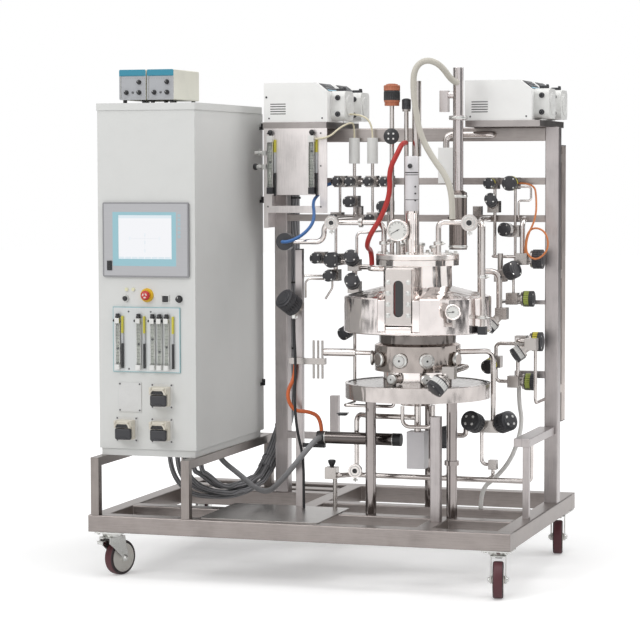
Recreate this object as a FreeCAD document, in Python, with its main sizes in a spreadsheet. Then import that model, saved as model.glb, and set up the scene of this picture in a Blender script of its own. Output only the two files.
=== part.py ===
"""Pilot bioreactor on a castered stainless frame, with its control cabinet.

Millimetres. The origin is the centre of the base on the floor: +X runs to the right
along the front of the base, +Y to the back and +Z up.
"""

import FreeCAD, Part
import math
import os
import re
import Sketcher

Vector = FreeCAD.Vector
X_AXIS = Vector(1, 0, 0)
Y_AXIS = Vector(0, 1, 0)
Z_AXIS = Vector(0, 0, 1)

SIZES = {
    # base frame of square tube
    "base_length": 1527,
    "base_depth": 1066,
    "base_tube": 60,
    "base_top": 220,
    "front_cross_y": -265,
    "leg_cross_y": -6,
    "post_cross_y": 225,
    "rear_cross_y": 334,
    "middle_beam_x": -118,
    "short_beam_x": 420,
    "shelf_left": -360,
    "shelf_right": 78,
    "shelf_front": -500,
    "shelf_back": -122,
    "shelf_sheet": 3,
    # castors
    "swivel_x": 711,
    "swivel_y": 480,
    "wheel_radius": 62.5,
    "wheel_width": 36,
    "tyre_wall": 11,
    "tyre_round": 4,
    "hub_recess": 5,
    "hub_radius": 14,
    "castor_trail": 38,
    "plate_length": 105,
    "plate_width": 85,
    "plate_sheet": 5,
    "fork_sheet": 4,
    "fork_side_gap": 5,
    "fork_top": 142,
    "fork_half_top": 38,
    "fork_toe": 15,
    "race_radius": 39,
    "axle_radius": 6,
    "axle_nut_radius": 11,
    "axle_nut_height": 6,
    "running_gap": 0.05,
    "face_gap": 0.3,
    # stand under the cabinet
    "stand_tube": 30,
    "stand_left_x": -753,
    "stand_right_x": -412,
    "stand_rear_y": 349,
    # cabinet
    "cabinet_left": -752,
    "cabinet_width": 367,
    "cabinet_front": -450,
    "cabinet_depth": 704,
    "cabinet_bottom": 425,
    "cabinet_top": 1671,
    "plinth_height": 25,
    "plinth_inset": 6,
    "cap_height": 25,
    "cap_overhang": 3,
    "cabinet_sheet": 4,
    "gland_radius": 13,
    "gland_bore": 9.3,
    "gland_height": 14,
    "door_depth": 19,
    "door_gap": 1,
    "hinge_radius": 6,
    "hinge_pin": 3,
    "hinge_length": 24,
    "hinge_low": 620,
    "hinge_middle": 1311,
    "hinge_high": 1586,
    # operator panel
    "bezel_left": -731,
    "bezel_width": 325,
    "bezel_bottom": 1060,
    "bezel_height": 263,
    "bezel_depth": 9,
    "bezel_round": 6,
    "screen_left": -671,
    "screen_width": 201,
    "screen_bottom": 1124,
    "screen_height": 154,
    "screen_recess": 3,
    "screen_sheet": 2,
    # push buttons and switches
    "lamp_radius": 6,
    "lamp_height": 5,
    "switch_row_z": 984,
    "collar_depth": 8,
    "stop_x": -567,
    "stop_z": 996,
    "stop_collar": 25,
    "stop_stem": 11,
    "stop_head": 17,
    "stop_head_height": 14,
    "stop_travel": 4,
    "button_x": -648,
    "button_collar": 13,
    "button_radius": 9,
    "button_travel": 3,
    "slide_gap": 0.2,
    "rocker_x": -497,
    "rocker_frame": 28,
    "rocker_face": 20,
    "rocker_depth": 6,
    "rocker_pivot": 5,
    "knob_x": -446,
    "knob_radius": 10,
    "knob_height": 18,
    # flow meters on the cabinet front
    "meter_panel_left": -696,
    "meter_panel_width": 254,
    "meter_panel_bottom": 724,
    "meter_panel_height": 230,
    "meter_panel_sheet": 5,
    "meter_block_width": 17,
    "meter_block_depth": 20,
    "meter_block_height": 18,
    "meter_base_z": 733,
    "meter_rise": 182,
    "meter_tube_radius": 6.5,
    "meter_knob_radius": 8.5,
    "meter_knob_height": 16,
    # panel pumps
    "pump_plate_width": 82,
    "pump_plate_height": 88,
    "pump_plate_sheet": 3,
    "pump_head_width": 64,
    "pump_head_height": 68,
    "pump_head_depth": 26,
    "pump_top_height": 26,
    "pump_top_depth": 42,
    "pump_cover_depth": 15,
    "rotor_well": 19.2,
    "rotor_hub": 7.2,
    "rotor_depth": 12,
    # bench instruments on the cabinet
    "instrument_width": 100,
    "instrument_depth": 250,
    "instrument_height": 106,
    "instrument_left": -671,
    "instrument_gap": 5,
    "instrument_front": -440,
    "instrument_foot": 11,
    "instrument_knob_radius": 7,
    "instrument_knob_height": 12,
    # process frame
    "post_tube": 50,
    "left_post_x": -325,
    "right_post_x": 711,
    "post_y": 230,
    "portal_top": 1588,
    "rail_tube": 25,
    "low_rail_z": 1244,
    "high_rail_z": 1380,
    "thin_rail": 15,
    "upper_stub_z": 945,
    "lower_stub_z": 676,
    "side_rail_z": 425,
    "light_post_x": -117,
    "light_post_y": -149,
    "light_post_top": 1150,
    "centre_post_tube": 35,
    "centre_post_y": -335,
    "centre_post_top": 584,
    "arm_post_x": 725,
    "arm_post_y": -183,
    "arm_post_tube": 22,
    "arm_bottom": 472,
    "arm_height": 28,
    "duct_x": 735,
    "duct_y": 300,
    "duct_depth": 60,
    "duct_bottom": 515,
    "duct_top": 1520,
    # trays with hose pumps
    "tray_height": 23,
    "tray_sheet": 4,
    "tray_front": 100,
    "tray_depth": 410,
    "left_tray_x": -325,
    "left_tray_length": 247,
    "right_tray_x": 446,
    "right_tray_length": 274,
    "hose_pump_length": 246,
    "hose_pump_depth": 195,
    "hose_pump_height": 144,
    "hose_pump_slope": 34,
    "hose_pump_front": 105,
    "hose_pump_pitch": 205,
    "left_pump_x": -322,
    "right_pump_x": 443,
    "hose_head_length": 54,
    "hose_head_width": 112,
    "hose_head_height": 108,
    "hose_head_round": 22,
    # flow meter bracket hung from the left tray
    "bracket_left": -322,
    "bracket_width": 246,
    "bracket_bottom": 1277,
    "bracket_foot": 1221,
    "bracket_sheet": 3,
    "window_left": -290,
    "window_width": 187,
    "window_bottom": 1303,
    "window_height": 40,
    "column_base_z": 1347,
    "column_rise": 190,
    "column_tube_radius": 8,
    "column_left_x": -291,
    "column_right_x": -130,
    "ball_knob_radius": 10,
    # vessel
    "vessel_x": 337,
    "vessel_y": -148,
    "shell_radius": 122,
    "shell_wall": 4,
    "flange_radius": 147,
    "flange_bottom": 1100,
    "flange_joint": 1121,
    "lid_top": 1140,
    "shoulder_top": 1027,
    "jacket_top": 993,
    "jacket_bottom": 867,
    "jacket_radius": 260,
    "neck_radius": 136,
    "band_radius": 152,
    "band_top": 820,
    "band_bottom": 730,
    "support_radius": 256,
    "support_top": 684,
    "support_bottom": 633,
    "support_sheet": 6,
    "dish_top": 640,
    "vessel_bottom": 600,
    "leg_radius": 19,
    "leg_circle": 170,
    "lid_bolt_circle": 134,
    "lid_bolt_radius": 6,
    "lid_bolt_height": 9,
    "port_radius": 20,
    "port_length": 14,
    "port_row_z": 772,
    # sight glass
    "nozzle_width": 96,
    "nozzle_bottom": 900,
    "nozzle_top": 1098,
    "nozzle_front": -380,
    "sight_sheet": 18,
    "glass_sheet": 8,
    "glass_margin": 14,
    "slot_width": 35,
    "slot_bottom": 930,
    "slot_top": 1056,
    "notch_width": 150,
    # agitator
    "agitator_x": 329,
    "agitator_y": -195,
    "motor_radius": 23.5,
    "motor_bottom": 1291,
    "motor_top": 1483,
    "lantern_radius": 18,
    "shaft_radius": 7,
    "shaft_bottom": 660,
    "impeller_radius": 42,
    "impeller_hub": 13,
    "impeller_height": 18,
    "blade_sheet": 3,
    # gauges
    "dial_x": 290,
    "dial_y": -225,
    "dial_z": 1224,
    "dial_radius": 38,
    "dial_depth": 18,
    "small_dial_radius": 27,
    "stem_radius": 7,
    # exhaust condenser
    "condenser_x": 442,
    "condenser_y": 14,
    "condenser_radius": 32,
    "condenser_bottom": 1150,
    "condenser_step": 1361,
    "column_radius": 18.5,
    "column_top": 1797,
    "condenser_arm": 22,
    "band_sheet": 5,
    # piping and valves
    "pipe_radius": 9.5,
    "bend_radius": 30,
    "clamp_radius": 25,
    "clamp_length": 14,
    "ring_radius": 17,
    "ring_width": 11,
    "small_bend": 20,
    "sample_radius": 4,
    "inlet_z": 1249,
    "inlet_clamp_x": 45,
    "outlet_z": 1252,
    "outlet_clamp_x": 556,
    "valve_block": 42,
    "bonnet_radius": 15,
    "bonnet_length": 12,
    "rim_step": 3,
    "rail_gap": 9,
    "rim_height": 8,
    "cap_step": 8,
    # heater
    "heater_radius": 23,
    "heater_cap": 28,
    "heater_x": -38,
    "heater_length": 312,
    "heater_z": 477,
    # hand valve
    "hand_valve_x": 13,
    "hand_valve_y": -130,
    "hand_valve_z": 349,
    "hand_knob_radius": 14,
    "hand_knob_height": 26,
}

doc = FreeCAD.newDocument("PilotBioreactor")
sheet = doc.addObject("Spreadsheet::Sheet", "Sizes")
for row, (alias, number) in enumerate(SIZES.items(), 1):
    sheet.set("A%d" % row, alias)
    sheet.set("B%d" % row, str(number))
    sheet.setAlias("B%d" % row, alias)
doc.recompute()

nodes = []


def value(text):
    """The number that an expression of aliases comes to."""
    return float(sheet.evalExpression(str(text)))


def bound(text):
    """The same expression as another object reads it: an alias always has an underscore."""
    return re.sub(r"([a-z]+_[a-z_]+)", r"Sizes.\1", str(text))


def bind(item, **expressions):
    """Ties properties of an object to expressions of aliases."""
    for name, text in expressions.items():
        item.setExpression(name, bound(text))
    return item


def place(item, x, y, z):
    """Ties the position of an object to expressions of aliases."""
    for axis, text in zip("xyz", (x, y, z)):
        item.setExpression("Placement.Base." + axis, bound(text))
    return item


def box(x, y, z, length, width, height):
    """A block from its low corner."""
    item = doc.addObject("Part::Box", "Block")
    bind(item, Length=length, Width=width, Height=height)
    return place(item, x, y, z)


TURNS = {
    "up": FreeCAD.Rotation(),
    "right": FreeCAD.Rotation(Z_AXIS, X_AXIS),
    "back": FreeCAD.Rotation(Z_AXIS, Y_AXIS),
}


def rod(radius, length, x, y, z, along="up"):
    """A round bar from the middle of its low end."""
    item = doc.addObject("Part::Cylinder", "Rod")
    item.Placement = FreeCAD.Placement(Vector(), TURNS[along])
    bind(item, Radius=radius, Height=length)
    return place(item, x, y, z)


def cone(low_radius, high_radius, length, x, y, z, along="up"):
    """A tapered bar from the middle of its low end."""
    item = doc.addObject("Part::Cone", "Taper")
    item.Placement = FreeCAD.Placement(Vector(), TURNS[along])
    bind(item, Radius1=low_radius, Radius2=high_radius, Height=length)
    return place(item, x, y, z)


def fuse(*items):
    """One solid from several that meet."""
    item = doc.addObject("Part::MultiFuse", "Joined")
    item.Shapes = list(items)
    item.Refine = True
    return item


def cut(base, *tools):
    """A solid less the others."""
    item = doc.addObject("Part::Cut", "Cut")
    item.Base = base
    item.Tool = tools[0] if len(tools) == 1 else fuse(*tools)
    return item


def group(items):
    """Separate solids that share a node."""
    item = doc.addObject("Part::Compound", "Group")
    item.Links = list(items)
    return item


def rounded(item, radius, direction):
    """A block with its straight edges along one direction rounded."""
    doc.recompute()
    size = value(radius)
    fillet = doc.addObject("Part::Fillet", "Rounded")
    fillet.Base = item
    chosen = []
    for index, edge in enumerate(item.Shape.Edges, 1):
        straight = edge.Curve.TypeId == "Part::GeomLine"
        if straight and abs(edge.tangentAt(edge.FirstParameter).dot(direction)) > 0.999:
            chosen.append((index, size, size))
    fillet.Edges = chosen
    return fillet


def node(label, item):
    """Names a finished sub-part."""
    item.Label = label
    nodes.append(item)
    return item


def outline(body, name, plane, points):
    """A closed sketch of straight lines whose corners are bound to the sheet."""
    sketch = body.newObject("Sketcher::SketchObject", name)
    base = next(item for item in body.Origin.OriginFeatures if item.Role == plane)
    sketch.AttachmentSupport = [(base, "")]
    sketch.MapMode = "FlatFace"
    corners = [Vector(value(across), value(up), 0) for across, up in points]
    for start, end in zip(corners, corners[1:] + corners[:1]):
        sketch.addGeometry(Part.LineSegment(start, end))
    for index, (across, up) in enumerate(points):
        following = (index + 1) % len(points)
        sketch.addConstraint(Sketcher.Constraint("Coincident", index, 2, following, 1))
        for kind, text in (("DistanceX", across), ("DistanceY", up)):
            limit = Sketcher.Constraint(kind, -1, 1, index, 1, value(text))
            number = sketch.addConstraint(limit)
            sketch.setExpression("Constraints[%d]" % number, bound(text))
    return sketch


def turned(name, points, x, y, z=0):
    """A body revolved about a vertical axis from corners given as radius and height."""
    body = doc.addObject("PartDesign::Body", name)
    sketch = outline(body, name + "Profile", "XZ_Plane", points)
    turn = body.newObject("PartDesign::Revolution", name + "Turn")
    turn.Profile = sketch
    turn.ReferenceAxis = (sketch, ["V_Axis"])
    turn.Angle = 360
    return place(body, x, y, z)


def extruded(name, plane, points, length, x=0, y=0, z=0):
    """A body padded from an outline, to the right from YZ, back from XZ or up from XY."""
    body = doc.addObject("PartDesign::Body", name)
    sketch = outline(body, name + "Profile", plane, points)
    pad = body.newObject("PartDesign::Pad", name + "Pad")
    pad.Profile = sketch
    pad.Reversed = plane == "XZ_Plane"
    bind(pad, Length=length)
    return place(body, x, y, z)


def route(points):
    """A wire of straight runs joined by arcs as large as the runs allow, and their radii."""
    points = [Vector(*point) for point in points]
    edges = []
    radii = []
    start = points[0]
    for before, corner, after in zip(points, points[1:], points[2:]):
        first = corner - before
        second = after - corner
        half_turn = first.getAngle(second) / 2
        shorter = min(first.Length, second.Length)
        radius = 0.45 * shorter / math.tan(half_turn)
        reach = radius * math.tan(half_turn)
        inward = first.normalize()
        outward = second.normalize()
        enter = corner - inward * reach
        leave = corner + outward * reach
        bisector = (outward - inward).normalize()
        middle = corner + bisector * (radius / math.cos(half_turn) - radius)
        edges.append(Part.LineSegment(start, enter).toShape())
        edges.append(Part.Arc(enter, middle, leave).toShape())
        radii.append(radius)
        start = leave
    edges.append(Part.LineSegment(start, points[-1]).toShape())
    return Part.Wire(edges), radii


def swept(points, radius):
    """A round tube along a route of straight runs and tangent arcs."""
    wire, radii = route(points)
    heading = Vector(*points[1]) - Vector(*points[0])
    ring = Part.Wire(Part.makeCircle(radius, Vector(*points[0]), heading))
    tube = wire.makePipeShell([ring], True, True)
    section = math.pi * radius ** 2
    if abs(tube.Volume / (section * wire.Length) - 1) > 0.01:
        raise ValueError("a tube's volume does not match its route")
    return tube, radii, wire.Length


def straight(start, end, radius):
    """A round bar from one point to another."""
    item = doc.addObject("Part::Cylinder", "Tube")
    item.Placement = FreeCAD.Placement(start, FreeCAD.Rotation(Z_AXIS, end - start))
    item.Height = (end - start).Length
    return bind(item, Radius=radius)


def elbow(start, inward, outward, bend, radius):
    """A bend that leaves a point along one direction and ends along another."""
    side = (outward - inward * inward.dot(outward)).normalize()
    item = doc.addObject("Part::Torus", "Elbow")
    turn = FreeCAD.Rotation(side * -1, inward, (side * -1).cross(inward), "XYZ")
    item.Placement = FreeCAD.Placement(start + side * value(bend), turn)
    item.Angle3 = math.degrees(inward.getAngle(outward))
    return bind(item, Radius1=bend, Radius2=radius)


def pipe(points, radius="pipe_radius", bend="bend_radius"):
    """A rigid pipe: straight tubes that meet elbows of one bend radius face to face."""
    corners = [Vector(*(value(text) for text in point)) for point in points]
    parts = []
    start = corners[0]
    for before, corner, after in zip(corners, corners[1:], corners[2:]):
        inward = (corner - before).normalize()
        outward = (after - corner).normalize()
        reach = value(bend) * math.tan(inward.getAngle(outward) / 2)
        enter = corner - inward * reach
        parts.append(straight(start, enter, radius))
        parts.append(elbow(enter, inward, outward, bend, radius))
        start = corner + outward * reach
    parts.append(straight(start, corners[-1], radius))
    return parts


def around(angle, reach, z):
    """A point at a reach from the vessel's axis, at an angle from the right."""
    x = "vessel_x + (%s) * cos(%s deg)" % (reach, angle)
    y = "vessel_y + (%s) * sin(%s deg)" % (reach, angle)
    return x, y, z


def aimed(radius, length, x, y, z, heading):
    """A round bar from the middle of its near end along a heading."""
    item = doc.addObject("Part::Cylinder", "Stub")
    item.Placement = FreeCAD.Placement(Vector(), FreeCAD.Rotation(Z_AXIS, heading))
    bind(item, Radius=radius, Height=length)
    return place(item, x, y, z)


def radial(radius, length, reach, angle, z):
    """A round bar that points away from the vessel's axis."""
    heading = Vector(math.cos(math.radians(angle)), math.sin(math.radians(angle)), 0)
    return aimed(radius, length, *around(angle, reach, z), heading)


# ---------------------------------------------------------------- base frame


def make_base_frame():
    """Welded square tube: an outer ring with cross beams under what stands on it."""
    low = "base_top - base_tube"
    left = "-base_length / 2"
    front = "-base_depth / 2"
    inner_left = "-base_length / 2 + base_tube"
    inner_right = "base_length / 2 - base_tube"
    inner_front = "-base_depth / 2 + base_tube"
    inner_back = "base_depth / 2 - base_tube"
    middle_right = "middle_beam_x + base_tube"
    cross_back = "front_cross_y + base_tube"
    beams = [
        (left, front, "base_length", "base_tube"),
        (left, inner_back, "base_length", "base_tube"),
        (left, inner_front, "base_tube", "base_depth - 2 * base_tube"),
        (inner_right, inner_front, "base_tube", "base_depth - 2 * base_tube"),
        (inner_left, "front_cross_y", "base_length - 2 * base_tube", "base_tube"),
        ("middle_beam_x", cross_back, "base_tube", "base_depth / 2 - base_tube - (%s)" % cross_back),
        (inner_left, "post_cross_y", "middle_beam_x - (%s)" % inner_left, "base_tube"),
        (inner_left, "rear_cross_y", "middle_beam_x - (%s)" % inner_left, "base_tube"),
        (middle_right, "leg_cross_y", "base_length / 2 - base_tube - (%s)" % middle_right, "base_tube"),
        ("short_beam_x", inner_front, "base_tube", "front_cross_y - (%s)" % inner_front),
    ]
    parts = []
    for x, y, length, width in beams:
        beam = box(x, y, low, length, width, "base_tube")
        runs_right = value(length) > value(width)
        parts.append(rounded(beam, 4, X_AXIS if runs_right else Y_AXIS))
    node("base_frame", group(parts))


def make_shelf_plate():
    """A brushed sheet laid over the beams at the front left."""
    plate = box("shelf_left", "shelf_front", "base_top", "shelf_right - shelf_left",
                "shelf_back - shelf_front", "shelf_sheet")
    node("shelf_plate", rounded(plate, 12, Z_AXIS))


CASTORS = {
    "front_left": ("-swivel_x + 20", "-swivel_y - 8", 248),
    "front_right": ("swivel_x", "-swivel_y", 102),
    "back_left": ("-swivel_x", "swivel_y", 282),
    "back_right": ("swivel_x", "swivel_y", 101),
}


def make_castor_plates():
    """Top plates under the base corners, each with its ball race and four bolt heads."""
    under = "base_top - base_tube - plate_sheet"
    parts = []
    for x, y, _ in CASTORS.values():
        plate = box("%s - plate_length / 2" % x, "%s - plate_width / 2" % y, under,
                    "plate_length", "plate_width", "plate_sheet")
        race = cone("race_radius - 6", "race_radius", "%s - fork_top - face_gap" % under,
                    x, y, "fork_top + face_gap")
        parts.append(fuse(rounded(plate, 8, Z_AXIS), race))
    node("caster_plates", group(parts))


def make_castor_fork(name, x, y, angle):
    """A pressed fork: two cheeks that narrow to the axle, a crown, and the axle bolt."""
    half = "wheel_width / 2 + fork_side_gap + fork_sheet"
    axle_x = "-castor_trail"
    cheek = extruded("Fork", "XZ_Plane", [
        ("-fork_half_top", "fork_top"),
        ("-fork_half_top - 3", "fork_top - 22"),
        (axle_x + " - fork_toe", "wheel_radius + 4"),
        (axle_x + " - fork_toe + 6", "wheel_radius - 12"),
        (axle_x + " + fork_toe - 6", "wheel_radius - 12"),
        (axle_x + " + fork_toe + 2", "wheel_radius + 6"),
        ("fork_half_top", "fork_top - 22"),
        ("fork_half_top", "fork_top"),
    ], "2 * (%s)" % half, 0, "-(%s)" % half, 0)
    gap = box("-2 * fork_half_top", "-wheel_width / 2 - fork_side_gap", "wheel_radius - 30",
              "4 * fork_half_top", "wheel_width + 2 * fork_side_gap",
              "fork_top - fork_sheet - wheel_radius + 30")
    axle_end = "(%s) + axle_nut_height" % half
    axle = rod("axle_radius", "2 * (%s)" % half, axle_x, "-(%s)" % half, "wheel_radius", "back")
    nuts = [cone("axle_nut_radius - 4", "axle_nut_radius", "axle_nut_height",
                 axle_x, "-(%s)" % axle_end, "wheel_radius", "back"),
            cone("axle_nut_radius", "axle_nut_radius - 4", "axle_nut_height",
                 axle_x, half, "wheel_radius", "back")]
    kingpin = rod(11, 7, 0, 0, "fork_top - fork_sheet - 7")
    pedal = box("fork_half_top - 4", -9, "fork_top - fork_sheet", 24, 18, "fork_sheet")
    fork = fuse(cut(cheek, gap), axle, nuts[0], nuts[1], kingpin, pedal)
    carrier = group([fork])
    carrier.Placement = FreeCAD.Placement(Vector(), FreeCAD.Rotation(Z_AXIS, angle))
    place(carrier, x, y, 0)
    node("caster_fork_" + name, carrier)


def make_castor_wheel(name, x, y, angle):
    """A wheel turned with a boss, a dished hub and a tread with rounded shoulders."""
    half = "wheel_width / 2"
    boss = "wheel_width / 2 + fork_side_gap - face_gap"
    web = "wheel_width / 2 - hub_recess"
    rim = "wheel_radius - tyre_wall"
    half_section = [
        ("axle_radius + running_gap", boss),
        ("hub_radius", boss),
        ("hub_radius + 2", web),
        (rim + " - 3", web),
        (rim, half),
        ("wheel_radius - tyre_round", half),
        ("wheel_radius", half + " - tyre_round"),
    ]
    mirrored = [(radius, "-(%s)" % side) for radius, side in reversed(half_section)]
    body = doc.addObject("PartDesign::Body", "Wheel")
    sketch = outline(body, "WheelProfile", "XY_Plane", half_section + mirrored)
    turn = body.newObject("PartDesign::Revolution", "WheelTurn")
    turn.Profile = sketch
    turn.ReferenceAxis = (sketch, ["V_Axis"])
    turn.Angle = 360
    body.Placement = FreeCAD.Placement(Vector(), FreeCAD.Rotation(Z_AXIS, angle))
    place(body, "%s - castor_trail * cos(%s deg)" % (x, angle),
          "%s - castor_trail * sin(%s deg)" % (y, angle), "wheel_radius")
    node("caster_wheel_" + name, body)


# ---------------------------------------------------------------- cabinet


def make_cabinet_stand():
    """Four legs of square tube with a beam along each side and one across the back."""
    height = "cabinet_bottom - base_top"
    front = "-base_depth / 2"
    upper = "cabinet_bottom - stand_tube"
    parts = []
    for x in ("stand_left_x", "stand_right_x"):
        for y in (front, "stand_rear_y"):
            parts.append(box(x, y, "base_top", "stand_tube", "stand_tube", height))
        parts.append(box(x, front + " + stand_tube", upper, "stand_tube",
                         "stand_rear_y - (%s) - stand_tube" % front, "stand_tube"))
    parts.append(box("stand_left_x + stand_tube", "stand_rear_y", upper,
                     "stand_right_x - stand_left_x - stand_tube", "stand_tube", "stand_tube"))
    node("cabinet_stand", group(parts))


CABINET_RIGHT = "cabinet_left + cabinet_width"
STRANDS = 5
STRAND_X = -585
STRAND_Y = -200
STRAND_PITCH = 30
CABINET_BACK = "cabinet_front + cabinet_depth"
HINGE_X = CABINET_RIGHT + " + hinge_radius"
HINGE_Y = CABINET_BACK + " + door_gap"


def make_cabinet_body():
    """Sheet panels on a plinth, open at the back, with the fixed halves of the hinges."""
    floor = "cabinet_bottom + plinth_height"
    roof = "cabinet_top - cap_height"
    tall = "%s - (%s)" % (roof, floor)
    inner_left = "cabinet_left + cabinet_sheet"
    inner_width = "cabinet_width - 2 * cabinet_sheet"
    inner_depth = "cabinet_depth - cabinet_sheet"
    inner_front = "cabinet_front + cabinet_sheet"
    parts = [
        box("cabinet_left + plinth_inset", "cabinet_front + plinth_inset", "cabinet_bottom",
            "cabinet_width - 2 * plinth_inset", "cabinet_depth - 2 * plinth_inset", "plinth_height"),
        box("cabinet_left", "cabinet_front", floor, "cabinet_width", "cabinet_sheet", tall),
        box("cabinet_left", inner_front, floor, "cabinet_sheet", inner_depth, tall),
        box(inner_left, inner_front, floor, inner_width, inner_depth, "cabinet_sheet"),
    ]
    side = box(CABINET_RIGHT + " - cabinet_sheet", inner_front, floor, "cabinet_sheet",
               inner_depth, tall)
    fixed = [side]
    for z in ("hinge_low", "hinge_middle", "hinge_high"):
        fixed.append(box(CABINET_RIGHT, HINGE_Y + " - 22", z, "hinge_radius / 2", 22, "hinge_length / 2"))
        fixed.append(rod("hinge_radius", "hinge_length / 2", HINGE_X, HINGE_Y, z))
        fixed.append(rod("hinge_pin", "hinge_length", HINGE_X, HINGE_Y, z))
    parts.append(fuse(*fixed))
    for number in range(STRANDS):
        x = STRAND_X + STRAND_PITCH * number
        gland = rod("gland_radius", "gland_height", x, STRAND_Y, "cabinet_bottom - gland_height")
        parts.append(cut(gland, rod("gland_bore", "gland_height", x, STRAND_Y,
                                    "cabinet_bottom - gland_height")))
    node("cabinet_body", group(parts))


def make_cabinet_cap():
    """The roof: a shallow folded cap that stands a little proud of the walls."""
    cap = box("cabinet_left - cap_overhang", "cabinet_front - cap_overhang",
              "cabinet_top - cap_height", "cabinet_width + 2 * cap_overhang",
              "cabinet_depth + 2 * cap_overhang", "cap_height")
    node("cabinet_cap", rounded(cap, 3, Z_AXIS))


def make_cabinet_door():
    """The back door with the moving halves of its hinges."""
    floor = "cabinet_bottom + plinth_height"
    low_y = CABINET_BACK + " + door_gap"
    panel = box("cabinet_left", low_y, floor, "cabinet_width - door_gap", "door_depth",
                "cabinet_top - cap_height - (%s)" % floor)
    moving = [panel]
    bores = []
    for z in ("hinge_low", "hinge_middle", "hinge_high"):
        start = z + " + hinge_length / 2 + face_gap"
        tall = "hinge_length / 2 - face_gap"
        moving.append(rod("hinge_radius", tall, HINGE_X, HINGE_Y, start))
        moving.append(box(CABINET_RIGHT + " - 2 * door_gap", HINGE_Y, start, "hinge_radius",
                          "hinge_radius", tall))
        bores.append(rod("hinge_pin + running_gap", "hinge_length", HINGE_X, HINGE_Y, z))
    node("cabinet_door", cut(fuse(*moving), *bores))


def make_operator_panel():
    """The bezel of the touch panel with the screen set into it."""
    front = "cabinet_front - bezel_depth"
    frame = rounded(box("bezel_left", front, "bezel_bottom", "bezel_width", "bezel_depth",
                        "bezel_height"), "bezel_round", Y_AXIS)
    pocket = box("screen_left", front, "screen_bottom", "screen_width", "screen_recess",
                 "screen_height")
    node("hmi_bezel", cut(frame, pocket))
    node("hmi_screen", box("screen_left", front + " + screen_recess - screen_sheet",
                           "screen_bottom", "screen_width", "screen_sheet", "screen_height"))


def make_control_fittings():
    """Lamps, the collars of the buttons, the rocker's frame and a cover flap."""
    deep = "collar_depth"
    start = "cabinet_front - collar_depth"
    parts = []
    for x in (-644, -619):
        parts.append(rod("lamp_radius", "lamp_height", x, "cabinet_front - lamp_height", 1016, "back"))
    stop_ring = cone("stop_collar - 3", "stop_collar", deep, "stop_x", start, "stop_z", "back")
    parts.append(cut(stop_ring, rod("stop_stem + slide_gap", deep, "stop_x", start, "stop_z", "back")))
    button_ring = cone("button_collar - 2", "button_collar", deep, "button_x", start,
                       "switch_row_z", "back")
    parts.append(cut(button_ring, rod("button_radius + slide_gap", deep, "button_x", start,
                                      "switch_row_z", "back")))
    margin = "(rocker_frame - rocker_face) / 2"
    frame = box("rocker_x - rocker_frame / 2", "cabinet_front - rocker_pivot",
                "switch_row_z - rocker_frame / 2", "rocker_frame", "rocker_pivot", "rocker_frame")
    window = box("rocker_x - rocker_frame / 2 + (%s) - face_gap" % margin, "cabinet_front - rocker_pivot",
                 "switch_row_z - rocker_frame / 2 + (%s) - 1" % margin, "rocker_face + 2 * face_gap",
                 "rocker_pivot", "rocker_face + 2")
    parts.append(cut(frame, window))
    parts.append(rod("knob_radius + 3", 2, "knob_x", "cabinet_front - 2", "switch_row_z", "back"))
    parts.append(box(-714, "cabinet_front - bezel_depth - 3", 1083, 18, 3, 34))
    node("control_fittings", group(parts))


def make_controls():
    """The emergency stop, the push button, the rocker and the selector knob."""
    reach = "collar_depth - stop_travel - 1"
    stem = rod("stop_stem", "stop_travel + stop_head_height / 2 + (%s)" % reach, "stop_x",
               "cabinet_front - collar_depth - stop_travel - stop_head_height / 2", "stop_z", "back")
    head = cone("stop_head - 5", "stop_head", "stop_head_height", "stop_x",
                "cabinet_front - collar_depth - stop_travel - face_gap - stop_head_height", "stop_z", "back")
    node("estop_button", fuse(stem, head))
    node("push_button", rod("button_radius", "collar_depth", "button_x",
                            "cabinet_front - collar_depth - button_travel - 1", "switch_row_z", "back"))
    rocker = extruded("Rocker", "YZ_Plane", [
        ("-rocker_depth / 2 - 1", "-rocker_face / 2"),
        ("-rocker_depth / 2", 0),
        ("-rocker_depth / 2 - 1", "rocker_face / 2"),
        ("rocker_depth / 2 - 1", "rocker_face / 2"),
        ("rocker_depth / 2", 0),
        ("rocker_depth / 2 - 1", "-rocker_face / 2"),
    ], "rocker_face", "rocker_x - rocker_face / 2", "cabinet_front - rocker_pivot", "switch_row_z")
    node("rocker_switch", rocker)
    grip = cone("knob_radius - 2", "knob_radius", "knob_height", "knob_x",
                "cabinet_front - 2 - face_gap - knob_height", "switch_row_z", "back")
    pointer = box("knob_x - 1", "cabinet_front - 3 - knob_height", "switch_row_z", 2, 3, "knob_radius - 3")
    node("control_knob", cut(grip, pointer))


METER_PLACES = (-674, -595, -542, -516, -489)
METER_Y = "cabinet_front - meter_panel_sheet - meter_block_depth / 2"


def make_flow_meters():
    """The white panel with five small flow meters: end blocks, tubes and needle knobs."""
    parts = [box("meter_panel_left", "cabinet_front - meter_panel_sheet", "meter_panel_bottom",
                 "meter_panel_width", "meter_panel_sheet", "meter_panel_height")]
    tubes = []
    front = "cabinet_front - meter_panel_sheet - meter_block_depth"
    upper = "meter_base_z + meter_rise - meter_block_height"
    for number, x in enumerate(METER_PLACES, 1):
        left = "%s - meter_block_width / 2" % x
        for z in ("meter_base_z", upper):
            parts.append(box(left, front, z, "meter_block_width", "meter_block_depth",
                             "meter_block_height"))
        tubes.append(rod("meter_tube_radius", "meter_rise - 2 * meter_block_height", x, METER_Y,
                         "meter_base_z + meter_block_height"))
        grip = cone("meter_knob_radius", "meter_knob_radius - 1", "meter_knob_height", x, METER_Y,
                    "meter_base_z + meter_rise + face_gap")
        node("flow_knob_%d" % number, grip)
    node("flowmeter_panel", group(parts))
    return tubes


PUMPS = {1: (-512.5, 641), 2: (-647, 520), 3: (-513.5, 519)}


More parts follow.
